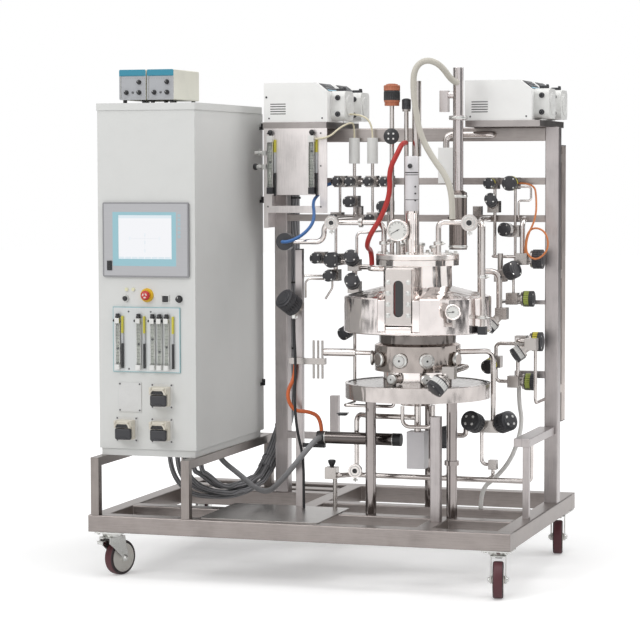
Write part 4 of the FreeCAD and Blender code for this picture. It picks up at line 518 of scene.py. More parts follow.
# ---------------------------------------------------------------- panel pumps
# Three small hose pumps on screwed plates. Each head is a cream moulding with a curved track,
# bright rollers and a latch lever; a charcoal cover on a side hinge swings off the rollers.

cream_moulding = moulded("cream_moulding", (0.70, 0.66, 0.57), 0.4)
moulded("pump_plate", (0.70, 0.70, 0.69), 0.45).onto(nodes["pump_plates"])
cream_moulding.onto(nodes["pump_heads"])
track = cream_moulding.over(lathe("track", [(20, 0), (27, 0), (28, 1), (28, 9), (27, 10), (21, 10),
        (20, 9), (20, 0)], 40))
roller_arm = zinc.over(lathe("rollers", [(0, 6), (5, 6), (6, 5), (6, 3), (12, 3), (13, 2), (13, 0),
        (0, 0)], 6))
cover = block("cover", (-31, 0, -34), (31, 15, 7.4), 7.5, 4)
brow = lathe("brow", [(0, 3.4), (8, 3.4), (9, 1.8), (22, 1.8), (23.4, 3), (24.4, 2.4), (24.4, 0.5),
                      (0, 0.5)], 48)
hood = lathe("hood", [(25.4, 6), (27, 7.4), (30, 7), (31.6, 5), (31.6, 0.4), (25.4, 0.4), (25.4, 6)],
             48)
for part in (brow, hood):
    part.data.transform(Matrix.Rotation(math.pi / 2, 4, "X"))
    edited(part, (bpy.ops.mesh.bisect, {"plane_co": (0, 0, 0.002), "plane_no": (0, 0, -1),
            "clear_outer": True, "use_fill": True}))
grip = block("cover_grip", (-14, -4, -33), (14, 1, -27), 1.6, 3)
charcoal.onto(cover, grip)
black_moulding.onto(brow)
cream_moulding.onto(hood)
cover = joined(cover, grip)
lever = cream_moulding.over(joined(block("lever_arm", (-26, -3, 26), (24, 3, 32), 2, 3),
                                   block("lever_tip", (-32, -9, 24), (-24, 3, 34), 2, 3)))
for number, (x, z) in enumerate(((-512.5, 641), (-647, 520), (-513.5, 519)), 1):
    piece = stamped(cover, f"hose_cover_{number}", (x, -494.3, z), body=f"cover_{number}",
                    slot="charcoal_plastic")
    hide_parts(f"pump_cover_{number}")
    stamped(track, f"pump_track_{number}", (x, -480, z + 4), ahead, slot="cream_plastic")
    stamped(roller_arm, f"pump_rollers_{number}", (x, -479, z + 8), ahead, slot="zinc")
    stamped(lever, f"pump_lever_{number}", (x + 3, -497, z + 1), slot="cream_plastic")
    stamped(brow, f"pump_brow_{number}", (x, -495, z + 7), slot="black_plastic",
            stretch=(0.98, 1, 0.94))
    stamped(hood, f"pump_hood_{number}", (x, -495, z + 7), slot="cream_plastic",
            stretch=(0.98, 1, 0.84))
    for side in (-36, 36):
        for up in (-39, 39):
            stamped(screw, f"pump_screw_{number}_{side}_{up}", (x + side, -453, z + up), ahead,
                    slot="zinc")
screwed("blank", (-672, -597), -453, (588, 681))
screwed("panel", (-636, -552), -455, (735, 938))

# ---------------------------------------------------------------- bench instruments
# Two small meters stand on the roof: cream cases with a grey front, a blue-green header and
# three black knobs each.

case = moulded("instrument_case", (0.76, 0.75, 0.66), 0.4)
front = Finish("instrument_front", Roughness=0.4)
x, z = front.axis("X"), front.axis("Z")
spray = front.noise(500, 3)
header = z > 1.765
dots = ((x * 1000 % 9) < 1.2) * (abs(z - 1.757) < 0.0016)
front.feed(
    Base_Color=front.blend(front.blend(front.blend((0.40, 0.41, 0.43), (0.45, 0.46, 0.48), spray),
                                       (0.10, 0.10, 0.11), dots * 0.6),
                           (0.03, 0.25, 0.36), header),
    Normal=front.bump(spray, 0.1, 0.0002, front.soft_edge(0.001)))
tinted(nodes["instrument_cases"], case, (front, lambda spot, way: way.y < -0.9 and spot.z > 1683),
       (black_moulding, lambda spot, way: spot.z < 1681.5))
skirted = lathe("skirted_knob", [(0, 13), (4.6, 13), (5.6, 12), (6, 5), (8, 3.4), (8.6, 1), (8.6, 0),
        (0, 0)], 28)
cap_mark = block("cap_mark", (-0.5, 1, 12.6), (0.5, 5.4, 13.5), 0.2)
black_moulding.onto(skirted)
white_moulding.onto(cap_mark)
skirted = joined(skirted, cap_mark)
for left in (-671, -566):
    for right, up in ((26, 26), (74, 26), (74, 62)):
        stamped(skirted, f"instrument_knob_{left}_{right}_{up}",
                                        (left + right, -437, 1682 + up), ahead, 20,
                                        slot="black_plastic")
    stamped(screw, f"instrument_socket_{left}", (left + 50, -437, 1708), ahead, slot="zinc",
            stretch=(1.3, 1.3, 1.5))
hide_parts("instrument_knobs")
discard(stop_head, dome, selector, needle_knob, track, roller_arm, cover, brow, hood, lever, skirted)

# ---------------------------------------------------------------- process frame
# Posts, beam, rails and arms of square tube, welded and ground along their length; the top
# beam and the front rails take a darker copy of the same finish, painted shade; the folded
# duct is lighter. Open ends are closed with pressed-in black plastic caps.

upright = satin_steel("post_ground_upright", (0.47, 0.435, 0.43), "Z", 0.0025, 0.32)
level_tube_shaded = satin_steel("rail_ground_painted_shade", (0.39, 0.355, 0.34), "X", 0.0025, 0.30)
duct_sheet = satin_steel("duct_sheet", (0.64, 0.57, 0.53), "Z", 0.001, 0.38)
# painted shade: the top beam and the front rails are a darker copy of the posts' ground finish
tinted(nodes["process_frame"], upright,
       (level_tube_shaded, lambda spot, way: spot.z > 1538 or spot.y < 282 and (
           1243 < spot.z < 1270 or 1379 < spot.z < 1406) and abs(spot.x - 193) < 517),
       (duct_sheet, lambda spot, way: spot.x > 712 and spot.y > 282))
for name, left, front, top, side in (("light_post_cap", -117, -149, 1150, 25),
                                     ("centre_post_cap", 95.5, -335, 584, 35)):
    cap = black_moulding.over(joined(block(name, (left - 0.5, front - 0.5, top),
            (left + side + 0.5, front + side + 0.5, top + 3), 1.2),
                                     block("plug", (left + 4, front + 4, top - 6),
                                             (left + side - 4, front + side - 4, top + 1), 0.5)))
    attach(cap, "skid")
for z in (515, 1520):
    out = 3 if z > 1000 else -3
    cap = black_moulding.over(block(f"duct_cap_{z}", (734.5, 299.5, min(z, z + out)),
            (760.5, 360.5, max(z, z + out)), 1.2))
    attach(cap, "skid")

# ---------------------------------------------------------------- trays and hose pumps
# Folded stainless trays rest across the beam. Each carries two hose pumps: a sprayed case with
# a membrane keypad on its sloped corner, and a moulded head with a latch over the tube.

satin_steel("tray_sheet", (0.40, 0.37, 0.36), "X", 0.002, 0.3).onto(nodes["pump_trays"])
pump_coat = moulded("pump_coat", (0.93, 0.93, 0.915), 0.38, 1200, 0.15, dull=0.96)
blue_print = moulded("keypad_blue", (0.30, 0.56, 0.70), 0.35)
keypad_grey = moulded("keypad_grey", (0.10, 0.105, 0.115), 0.32)
tinted(nodes["top_pump_cases"], pump_coat)
tinted(nodes["top_pump_heads"], white_moulding, (charcoal, lambda spot, way: spot.z > 1725.2))
keypad = charcoal.over(block("keypad", (-24, -70, 0), (24, 70, 1.6), 0.7))
band = blue_print.over(block("keypad_band", (16, -69, 1.2), (23, 69, 2.2), 0.3))
window = black_moulding.over(block("keypad_window", (-19, -62, 1.2), (-3, -8, 2.0), 0.3))
keys = [block("key", (1 - 15 * row, 4 + 17 * column, 1.4), (11 - 15 * row, 16 + 17 * column, 2.8), 0.5)
        for row in (0, 1) for column in range(4)]
keys += [block("key", (1, -62 + 15 * column, 1.4), (11, -51 + 15 * column, 2.8), 0.5)
         for column in range(4)]
keypad_grey.onto(*keys)
keypad = joined(keypad, band, window, *keys)
face = white_moulding.over(lathe("head_face", [(0, 3.4), (9, 3.4), (9.6, 2.4), (33, 2.4), (34, 3.6),
        (38, 3.6), (39, 2.6), (39, 0), (0, 0)], 56))
port = charcoal.over(lathe("tube_port", [(3.4, 9), (6.4, 9), (7, 8.4), (7, 2.6), (10, 2), (10, 0),
        (0, 0), (0, 3), (3.4, 3)], 28))
foot = black_moulding.over(lathe("rubber_foot", [(0, 1.5), (9, 1.5), (10, 0), (9.4, -4), (0, -4)], 24))
vent = joined(*[block("louvre", (-30, -0.6, 9 * n), (30, 0.6, 9 * n + 3.2), 0.5) for n in range(5)])
latch = joined(block("latch_bar", (-15, -19, 0), (15, 19, 3.6), 1.6, 3),
               block("latch_lip", (9, -13, 2), (15, 13, 9), 1.6, 3))
charcoal.onto(vent, latch)
for side, x in (("left", -322), ("right", 443)):
    for row, y in enumerate((105, 310), 1):
        label = f"{side}_{row}"
        pad = stamped(keypad, f"keypad_{label}", (0, 0, 0), slot="pump_paint")
        pad.data.transform(Matrix.Translation(Vector((x + 223.9, y + 97.5, 1738)) / 1000)
                           @ Matrix.Rotation(math.atan2(34, 44.2), 4, "Y"))
        stamped(face, f"head_face_{label}", (x + 300, y + 97.5, 1671), (1, 0, 0), slot="pump_paint")
        stamped(latch, f"head_latch_{label}", (x + 270, y + 97.5, 1731.6), slot="charcoal_plastic")
        for up in (1640, 1700):
            stamped(port, f"tube_port_{label}_{up}", (x + 273, y + 41.5, up), ahead,
                    slot="charcoal_plastic")
        stamped(vent, f"case_louvre_{label}", (x + 55, y, 1640), slot="charcoal_plastic")
        for across in (20, 226):
            stamped(screw, f"case_screw_{label}_{across}", (x + across, y, 1625), ahead, slot="zinc")
stamped(foot, "signal_dot", (-312, 103.6, 1703), ahead, slot="black_plastic", stretch=(0.4, 0.4, 0.5))
discard(keypad, face, port, foot, vent, latch)

# ---------------------------------------------------------------- tall flow meters
# A folded bracket hangs from the left tray. Two glass tube meters are screwed to it, each with
# a scale, a black ball knob on its needle valve and a coloured strip; tees enter at the left.

bracket_sheet = satin_steel("bracket_sheet", (0.80, 0.755, 0.745), "Z", 0.001, 0.36)
tinted(nodes["rotameter_bracket"], bracket_sheet,
       (white_moulding, lambda spot, way: 72 < spot.y < 99.6 and spot.z > 1536),
       (charcoal, lambda spot, way: 72 < spot.y < 99.6 and spot.x > -310 and spot.z < 1372),
       (zinc, lambda spot, way: spot.x < -322.5 or spot.y < 99.6 and spot.x < -307))
ball = black_moulding.over(lathe("ball_knob", [(0, 10), (3.5, 9.4), (7.1, 7.1), (9.4, 3.5), (10, 0),
        (9.4, -3.5), (7.1, -7.1), (5.2, -8.6), (5.2, -10.4), (4, -11), (4, -11.6), (0, -11.6)], 36))
for number, x in enumerate((-291, -130), 1):
    scale_channel(f"column_scale_{number}", x, 100, 9, 10, (3.5, 22, 1), 1372, 1536)
    stamped(float_ball, f"column_float_{number}", (x, 86, 1424 + 40 * number), slot="charcoal_plastic")
    piece = stamped(ball, f"ball_knob_{number}", (x, 86, 1573), body=f"column_needle_{number}",
                    slot="black_plastic")
    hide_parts(f"rotameter_knob_{number}")
    color_strip(x + 15.5, 3.4, 90, 100, ((1500, 1546), (1424, 1499.6), (1340, 1423.6)))
fluted = black_moulding.over(lathe("fluted_knob",
        [(0, 13), (9, 13), (11, 11.6), (12, 9), (12, 2.4), (11, 0), (0, 0)], 20))
stamped(fluted, "tee_knob", (-345, 91, 1447), (-1, 0, 0), slot="black_plastic")
for z in (1447, 1498):
    stamped(bolt, f"tee_nut_{z}", (-330, 91, z), (-1, 0, 0), slot="zinc", stretch=(1.7, 1.7, 1.6))
screwed("bracket", (-306, -100), 100, (1300, 1450, 1570))
discard(ball, fluted, float_ball)

# ---------------------------------------------------------------- vessel
# Pressed and turned stainless: a mirror-bright shell and lid, a polished insulated jacket, a
# port band and neck below the jacket in darker steel, painted shade under its overhang, and a
# folded support ring on three round legs. Joints are welded flush.

mirror = bright_steel("shell_polish", (0.93, 0.87, 0.84), 0.11, waves=0.25)
lid_polish = bright_steel("lid_polish", (0.97, 0.91, 0.88), 0.24)
band_shade_and_gasket_steel = bright_steel("band_shade_and_gasket", (0.42, 0.375, 0.35), 0.12, waves=0.6)
ring_steel = bright_steel("ring_polish", (0.56, 0.515, 0.495), 0.16, waves=0.5)
leg_steel = bright_steel("leg_polish", (0.31, 0.28, 0.27), 0.08)
vessel_x, vessel_y = 337, -148


def off_axis(spot):
    """How far a place in mm is from the vessel's axis."""
    return math.hypot(spot.x - vessel_x, spot.y - vessel_y)


def around(angle, reach, height):
    """A place round the vessel's axis, in mm, and the way out through it."""
    turn = math.radians(angle)
    out = Vector((math.cos(turn), math.sin(turn), 0))
    return Vector((vessel_x, vessel_y, height)) + out * reach, out


shoulder_reflection_steel = bright_steel("shoulder_painted_reflection", (0.52, 0.48, 0.46), 0.15, waves=0.3)
tray_shade_steel = bright_steel("tray_painted_shade", (0.34, 0.31, 0.295), 0.18, waves=0.35)
neck_shade_steel = bright_steel("neck_painted_shade", (0.19, 0.17, 0.16), 0.14, waves=0.9)
jacket = bright_steel("jacket_polish", (0.86, 0.80, 0.78), 0.12, 0.003, waves=0.3)
jacket_edge, neck_top, band_top, band_bottom, ring_bottom = 993.5, 880, 830, 728, 632
weld = jacket.noise(160, 3) * (abs(jacket.axis("Z") - jacket_edge / 1000) < 0.0016)
jacket.feed(Metallic=1.0 - weld * 0.1)
# painted shade under the jacket's overhang: the neck just below the jacket is near black and the port
# band is a darker copy of the shell's steel
tinted(nodes["vessel_shell"], mirror,
       (neck_shade_steel, lambda spot, way: band_top - 1 < spot.z < neck_top),
       (band_shade_and_gasket_steel, lambda spot, way: band_bottom < spot.z < band_top and off_axis(spot) > 130),
       (ring_steel, lambda spot, way: spot.z < band_bottom and off_axis(spot) > 123))
# painted dark reflection: the jacket's upward-facing shoulder is a darker copy of its polished steel
tinted(nodes["vessel_jacket"], jacket,
       (shoulder_reflection_steel, lambda spot, way: spot.z > jacket_edge + 2.5 and way.z > 0.2))
tinted(nodes["head_plate"], lid_polish,
       (zinc, lambda spot, way: spot.z > 1140.5 and off_axis(spot) > 122))
# painted shade: the tray inside the support ring, under the vessel, is a darker copy of the ring's
# steel
tinted(nodes["vessel_legs"], leg_steel, (ring_steel, lambda spot, way: spot.z > ring_bottom),
       (tray_shade_steel, lambda spot, way: spot.z > ring_bottom and off_axis(spot) < 244))
rim_bead = ring_steel.over(lathe("rim_bead",
        [(245, 4), (254, 4.6), (257, 3), (257.4, 0), (257, -3), (254, -4.6)], 120))
stamped(rim_bead, "support_bead", (vessel_x, vessel_y, 684.4), slot="polished_steel",
        stretch=(1, 1, 0.5))
plug = lathe("port_plug", [(0, 2.4), (3.4, 2.4), (3.8, 3.2), (16.8, 3.2), (18.4, 2), (18.4, 0), (0, 0)],
             40)
tinted(plug, white_moulding, (black_moulding, lambda spot, way: math.hypot(spot.x, spot.y) < 3.6))
collar = zinc.over(lathe("ferrule_clamp", [(18, 6), (20, 6), (24, 3.4), (24.6, 2), (24.6, -2),
        (24, -3.4), (20, -6), (18, -6)], 48))
wing = zinc.over(joined(lathe("clamp_bolt", [(0, 26), (2.4, 26), (3, 25), (3, 0), (0, 0)], 16),
                        lathe("clamp_hub", [(0, 16), (4, 16), (5.4, 14), (5.8, 8), (5.8, 7), (0, 7)],
                              20),
                        block("wing_pair", (-12, -1.2, 10), (12, 1.2, 20), 1.1, 3)))
for angle in (228, 263, 297, 345, 195):
    end, out = around(angle, 166, 772)
    if angle in (263, 297):
        stamped(plug, f"port_plug_{angle}", end, out, slot="white_plastic")
    stamped(collar, f"port_clamp_{angle}", end - out * 6, out, slot="zinc", stretch=(1.1, 1.1, 1))
bolt_washer = zinc.over(lathe("bolt_washer", [(0, 1.6), (9.4, 1.6), (10, 1), (10, 0), (0, 0)], 24))
for number in range(10):
    stamped(bolt_washer, f"lid_washer_{number}", around(number * 36 + 18, 134, 1140)[0], slot="zinc")
bead = band_shade_and_gasket_steel.over(lathe("lid_bead", [(148, 1.4), (148.6, 0.8), (148.6, -0.8), (148, -1.4),
        (146, -1.4), (146, 1.4), (148, 1.4)], 96))
stamped(bead, "flange_gasket", (vessel_x, vessel_y, 1121), slot="polished_steel")
for angle, reach, height in ((100, 88, 1168.5), (60, 84, 1160.5), (140, 96, 1168.5)):
    spot = around(angle, reach, height)[0]
    stamped(collar, f"lid_port_clamp_{angle}", spot, slot="zinc", stretch=(0.76, 0.76, 1.1))
    stamped(wing, f"lid_port_wing_{angle}", spot + Vector((0, -15, 0)), ahead, slot="zinc",
            stretch=(0.7, 0.7, 0.6))
for angle in (250, 297):
    end, out = around(angle, 159, 706)
    stamped(collar, f"low_port_clamp_{angle}", end - out * 5, out, slot="zinc", stretch=(0.8, 0.8, 1))
    stamped(plug, f"low_port_plug_{angle}", end, out, slot="white_plastic", stretch=(0.8, 0.8, 1))

# ---------------------------------------------------------------- sight glass
# A thick machined frame clamps a tempered pane on the nozzle with eight cap screws. The pane is
# coloured near black, painted shade of the vessel's unlit inside; it shows a faint dark red edge
# where its gasket is pressed.

pane = Finish("sight_pane", Roughness=0.05)
pane.surface.inputs["Coat Weight"].default_value = 0.6
x, z = pane.axis("X"), pane.axis("Z")
smear = pane.noise(40, 3)
# painted shade: the pane is near black for the vessel's unlit inside; the red edge is the gasket
pane.feed(Base_Color=pane.blend((0.008, 0.009, 0.010), (0.16, 0.02, 0.02), (x < 0.3245) * 0.8),
          Roughness=0.04 + smear * 0.08)
pane.onto(nodes["sight_glass"])
bright_steel("sight_frame", (0.62, 0.575, 0.55), 0.22, 0.0025).onto(nodes["sight_frame"])
for side in (-36, 36):
    for up in (936, 974, 1012, 1050):
        stamped(bolt, f"sight_bolt_{side}_{up}", (vessel_x + side, -398, up), ahead, slot="zinc",
                stretch=(1, 1, 1.3))
for side in (-1, 1):
    middle = vessel_x + side * 61.8
    cheek = block("cheek", (middle - 13.3, -396, 879), (middle + 13.3, -272, 1025), 1.5)
    for corner in cheek.data.vertices:
        if corner.co.y < -0.39 and corner.co.z > 1.0:
            corner.co.z -= 0.037
    cheek.name = f"notch_cheek_{side}"
    jacket.onto(cheek)
    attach(cheek, "skid")
sill = mirror.over(block("sight_sill", (290, -401, 872), (384, -300, 897), 5, 3))
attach(sill, "skid")

# ---------------------------------------------------------------- dials
# Two pressure dials with crimped bright bezels; each white face has printed divisions and a
# black pointer.


def dial(name, middle, radius, swing):
    """A bezel, a printed face and a pointer at the front of a dial, in mm."""
    printed = Finish(name + "_print", Roughness=0.35)
    printed.surface.inputs["Coat Weight"].default_value = 1.0
    x = printed.axis("X") - middle[0] / 1000
    z = printed.axis("Z") - middle[2] / 1000
    from_middle = (x * x + z * z) ** 0.5 * (1000 / radius)
    turn = printed.add("ShaderNodeMath", {"operation": "ARCTAN2"}, x, z)
    swept = (abs(turn) < 2.36)
    fine = ((turn + 3.1416) % 0.0942 < 0.022) * (abs(from_middle - 0.76) < 0.045)
    coarse = ((turn + 3.1416) % 0.471 < 0.05) * (abs(from_middle - 0.71) < 0.10)
    marks = ((fine + coarse) * swept).between(0, 1)
    dusting = printed.noise(60, 3)
    printed.feed(Base_Color=printed.blend(
        printed.blend((0.74, 0.74, 0.71), (0.82, 0.82, 0.79), dusting), (0.03, 0.03, 0.03), marks))
    rim = lid_polish.over(lathe(name + "_bezel", [(radius - 5, 0.4), (radius - 4.4, 4.4),
            (radius - 2.6, 5.2), (radius - 0.6, 4.4), (radius + 0.4, 2), (radius + 0.4, -7),
            (radius - 5, -7), (radius - 5, 0.4)], 72))
    face = lathe(name + "_face", [(0, 0.8), (radius - 4.6, 0.8), (radius - 4.6, 0.1), (0, 0.1)], 48)
    hub = lathe("hub", [(0, 3), (2, 2.8), (2.6, 1.6), (2.6, 0.6), (0, 0.6)], 20)
    hand = block("hand", (-0.9, -radius * 0.22, 1.5), (0.9, radius * 0.66, 2.2), 0.3)
    hand.data.transform(Matrix.Rotation(math.radians(swing), 4, "Z"))
    black_moulding.onto(hub, hand)
    stamped(rim, name + "_ring", middle, ahead, slot="polished_steel")
    disc = stamped(face, name + "_disc", middle, ahead, slot="white_plastic")
    printed.onto(disc)
    stamped(joined(hub, hand), name + "_pointer", middle, ahead, slot="black_plastic")
    discard(rim, face, hub)


bright_steel("dial_case", (0.50, 0.47, 0.45), 0.22).onto(nodes["gauges"])
dial("pressure_dial", (290, -243, 1224), 38, 118)
dial("jacket_dial", (528.5, -390.5, 951), 27, 96)

# ---------------------------------------------------------------- agitator
# A sprayed drive housing in stacked turned sections with black seams, on an open stainless
# lantern through which the shaft shows; the shaft carries two four-bladed impellers.

motor_coat = moulded("motor_coat", (0.74, 0.72, 0.735), 0.4, 1200, 0.1)
bright_steel("shaft_polish", (0.6, 0.57, 0.55), 0.15).onto(nodes["agitator_shaft"])
motor = lathe("drive_housing", [(0, 192), (17, 192), (21.5, 190.6), (23.5, 187), (23.5, 136.4),
        (22.6, 135.6), (22.6, 133), (23.5, 132.2), (23.5, 128), (22.6, 127.2), (22.6, 124.8),
        (23.5, 124), (23.5, 41), (22.6, 40.2), (22.6, 38), (23.5, 37.2), (23.5, 3), (22, 0), (7.2, 0),
        (7.2, -151), (18, -151), (18, -146), (15.6, -145), (15.6, -8), (18, -7), (18, -0.4)], 64)
tinted(motor, motor_coat,
       (black_moulding, lambda spot, way: spot.z > 0 and math.hypot(spot.x, spot.y) < 23.2
        and (132 < spot.z < 136 or 124.7 < spot.z < 127.3 or 37.9 < spot.z < 40.3)),
       (mirror, lambda spot, way: spot.z < -0.5))


def sunk(piece, chosen, **inset):
    """Insets the faces chosen by radius, height in mm and angle in degrees."""
    only(piece)
    bpy.ops.object.mode_set(mode="EDIT")
    bpy.ops.mesh.select_mode(type="FACE")
    bpy.ops.mesh.select_all(action="DESELECT")
    bpy.ops.object.mode_set(mode="OBJECT")
    for face in piece.data.polygons:
        x, y, height = face.center * 1000
        face.select = chosen(math.hypot(x, y), height, math.degrees(math.atan2(y, x)))
    bpy.ops.object.mode_set(mode="EDIT")
    bpy.ops.mesh.inset(**inset)
    bpy.ops.object.mode_set(mode="OBJECT")


sunk(motor, lambda radius, height, angle: 15 < radius < 16 and height < -20 and (angle + 45) % 90 < 54,
     thickness=0.0008, depth=-0.005)
piece = stamped(motor, "drive_and_lantern", (329, -195, 1291), slot="drive_paint")
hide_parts("agitator_drive")
gland = black_moulding.over(lathe("lead_gland", [(0, 15), (4, 15), (5.4, 13.6), (6.4, 9), (7.4, 8.4),
        (7.4, 3), (9, 2.6), (9, 0), (0, 0)], 6))
stamped(gland, "drive_gland", (329, -218, 1448), ahead, slot="black_plastic")
for up in (1328, 1352, 1376):
    black_moulding.onto(stamped(bolt_washer, f"drive_mark_{up}", (345.5, -211.5, up), (1, -1, 0),
                                slot="black_plastic", stretch=(0.3, 0.3, 1.6)))
discard(motor, gland)

# ---------------------------------------------------------------- exhaust condenser
# A double-wall tube with a reduced upper column, clamped in two places and banded to the
# low rail by an arm.

condenser_steel = bright_steel("condenser_steel", (0.26, 0.225, 0.21), 0.2)
column_steel = bright_steel("column_steel", (0.62, 0.575, 0.57), 0.2)
tinted(nodes["exhaust_column"], column_steel, (condenser_steel, lambda spot, way: spot.z < 1362))
for z in (1160, 1340):
    stamped(collar, f"condenser_clamp_{z}", (442, 14, z), slot="zinc", stretch=(1.38, 1.38, 1.3))
stamped(collar, "column_clamp", (442, 14, 1619), slot="zinc", stretch=(1.36, 1.36, 1.3))
stamped(wing, "column_wing", (442, -18, 1619), ahead, slot="zinc")

# ---------------------------------------------------------------- pipework
# Drawn stainless tube with orbital welds, polished outside. Clamped joints have a cast ring
# with a wing nut; the vent filters are white mouldings.

pipe_steel = Finish("pipe_polish", Metallic=1.0)
clouds = pipe_steel.noise(7, 4, 0.6)
fine = pipe_steel.noise(400, 3)
pipe_steel.feed(
    Base_Color=pipe_steel.blend((0.50, 0.46, 0.44), (0.66, 0.62, 0.60), clouds.between(0.3, 0.62)),
    Roughness=0.12 + clouds * 0.1,
    Normal=pipe_steel.bump(fine, 0.03, 0.0002, pipe_steel.soft_edge(0.0008)))
tinted(nodes["process_pipes"], pipe_steel,
       (white_moulding, lambda spot, way: spot.y > 185 and 1460 < spot.z < 1555 and spot.x < 90),
       (charcoal, lambda spot, way: spot.x < -112 and spot.y < -155 and 1140 < spot.z < 1215
        or 583 < spot.x < 613 and spot.y < -237 and 865 < spot.z < 895))
ring_places = [((222, -175, 1177.5), (0, 0, 1), 17), ((137.5, -175, 1249), (1, 0, 0), 17),
               ((420, -175, 1177.5), (0, 0, 1), 17), ((598, -252, 925.5), (0, 0, 1), 17),
               ((598, -252, 1065.5), (0, 0, 1), 17), ((238, -130, 1183), (0, 0, 1), 17),
               ((286, -112, 1183), (0, 0, 1), 17), ((45, -228, 1249), ahead, 25),
               ((556, -271, 1252), ahead, 29), ((98, -121, 358), ahead, 25)]
for number, (spot, aim, radius) in enumerate(ring_places):
    grow = radius / 24.2
    stamped(collar, f"pipe_clamp_{number}", spot, aim, slot="zinc", stretch=(grow, grow, 1.1))
    side = Vector((1, -0.6, 0) if aim[2] else (0, 0, -1) if aim[1] else (0, -1, 0.2)).normalized()
    stamped(wing, f"clamp_wing_{number}", Vector(spot) + side * (radius - 3), side, slot="zinc",
            stretch=(0.8, 0.8, 0.7))

mouth = lathe("ferrule_mouth", [(0, 0.5), (8.4, 0.5), (8.8, 1), (9.6, 1), (10, 0.4), (10, -0.2),
        (0, -0.2)], 40)
gasket = lathe("ferrule_gasket", [(15, 0), (15.6, 1.2), (17, 1.6), (18.4, 1.2), (19, 0), (15, 0)], 48)
tinted(mouth, black_moulding, (zinc, lambda spot, way: math.hypot(spot.x, spot.y) > 8.5))
zinc.onto(gasket)
mounts = (((45, -235, 1249), 1), ((556, -278, 1252), 1.16), ((98, -128, 358), 1))
for number, (spot, grow) in enumerate(mounts):
    stamped(mouth, f"ferrule_mouth_{number}", spot, ahead, slot="zinc", stretch=(grow, grow, 1))
    stamped(gasket, f"ferrule_gasket_{number}", spot, ahead, slot="zinc", stretch=(grow, grow, 0.6))
discard(mouth, gasket)

# ---------------------------------------------------------------- valve bodies
# Square blocks machined from bar; the larger have a bonnet plate that four bolts hold. Two
# small sprayed boxes are among them.

body_steel = bright_steel("valve_body", (0.47, 0.44, 0.42), 0.26, 0.002)
tinted(nodes["valve_bodies"], body_steel,
       (motor_coat, lambda spot, way: 304 < spot.x < 370 and -179 < spot.y < -117
        and 379 < spot.z < 512),
       (pump_coat, lambda spot, way: 321 < spot.x < 393 and 187 < spot.y < 231
        and 1384 < spot.z < 1516))
bonnet_bolt = lathe("bonnet_bolt", [(0, 9), (2.8, 9), (3.4, 8.2), (3.4, 4.6), (0, 4.6)], 12)
corners = []
for across in (-13, 13):
    for along in (-13, 13):
        part = bonnet_bolt.copy()
        part.data = bonnet_bolt.data.copy()
        part.data.transform(Matrix.Translation((across / 1000, along / 1000, 0)))
        bpy.context.scene.collection.objects.link(part)
        corners.append(part)
bonnet = joined(block("bonnet_plate", (-18, -18, 0), (18, 18, 5), 2.4, 3), *corners)
discard(bonnet_bolt)
body_steel.onto(bonnet)

# ---------------------------------------------------------------- valve actuators
# Moulded black drums with flutes, a bright rim and a raised cap with four screws. Several
# carry a white, yellow or yellow-green label round part of the wall.

label_white = moulded("label_white", (0.78, 0.78, 0.76), 0.4)
label_yellow = moulded("label_yellow", (0.70, 0.62, 0.06), 0.4)
copper = moulded("actuator_copper", (0.46, 0.15, 0.075), 0.35)
label_green = moulded("label_green", (0.42, 0.50, 0.10), 0.4)
drum = lathe("drum", [(0, 48), (13, 48), (13.8, 47), (20.4, 47), (22, 46), (22, 44.8), (28.2, 44.6),
                      (29.6, 43.8), (30, 42.4), (30, 33), (29.1, 32.2), (29.1, 30.6), (30, 29.8),
                      (30, 12), (29.1, 11.2), (29.1, 9.4), (30, 8.6), (29.4, 8), (27, 8), (27, 0.6),
                      (26.4, 0), (0, 0)], 72)
sunk(drum, lambda radius, height, angle: radius > 29.6 and (14 < height < 29 or 34 < height < 42)
     and round(angle / 5 - 0.5) % 3 == 0, thickness=0.0003, depth=-0.0014, use_individual=True)
tinted(drum, charcoal, (body_steel, lambda spot, way: spot.z < 8.2))
cap_screw = lathe("cap_screw", [(0, 1.4), (2.6, 1.4), (3.2, 0.8), (3.2, 0), (0, 0)], 16)
eye = lathe("face_dot", [(0, 1.6), (4.4, 1.6), (5, 1), (5, 0), (0, 0)], 24)
zinc.onto(cap_screw)
white_moulding.onto(eye)
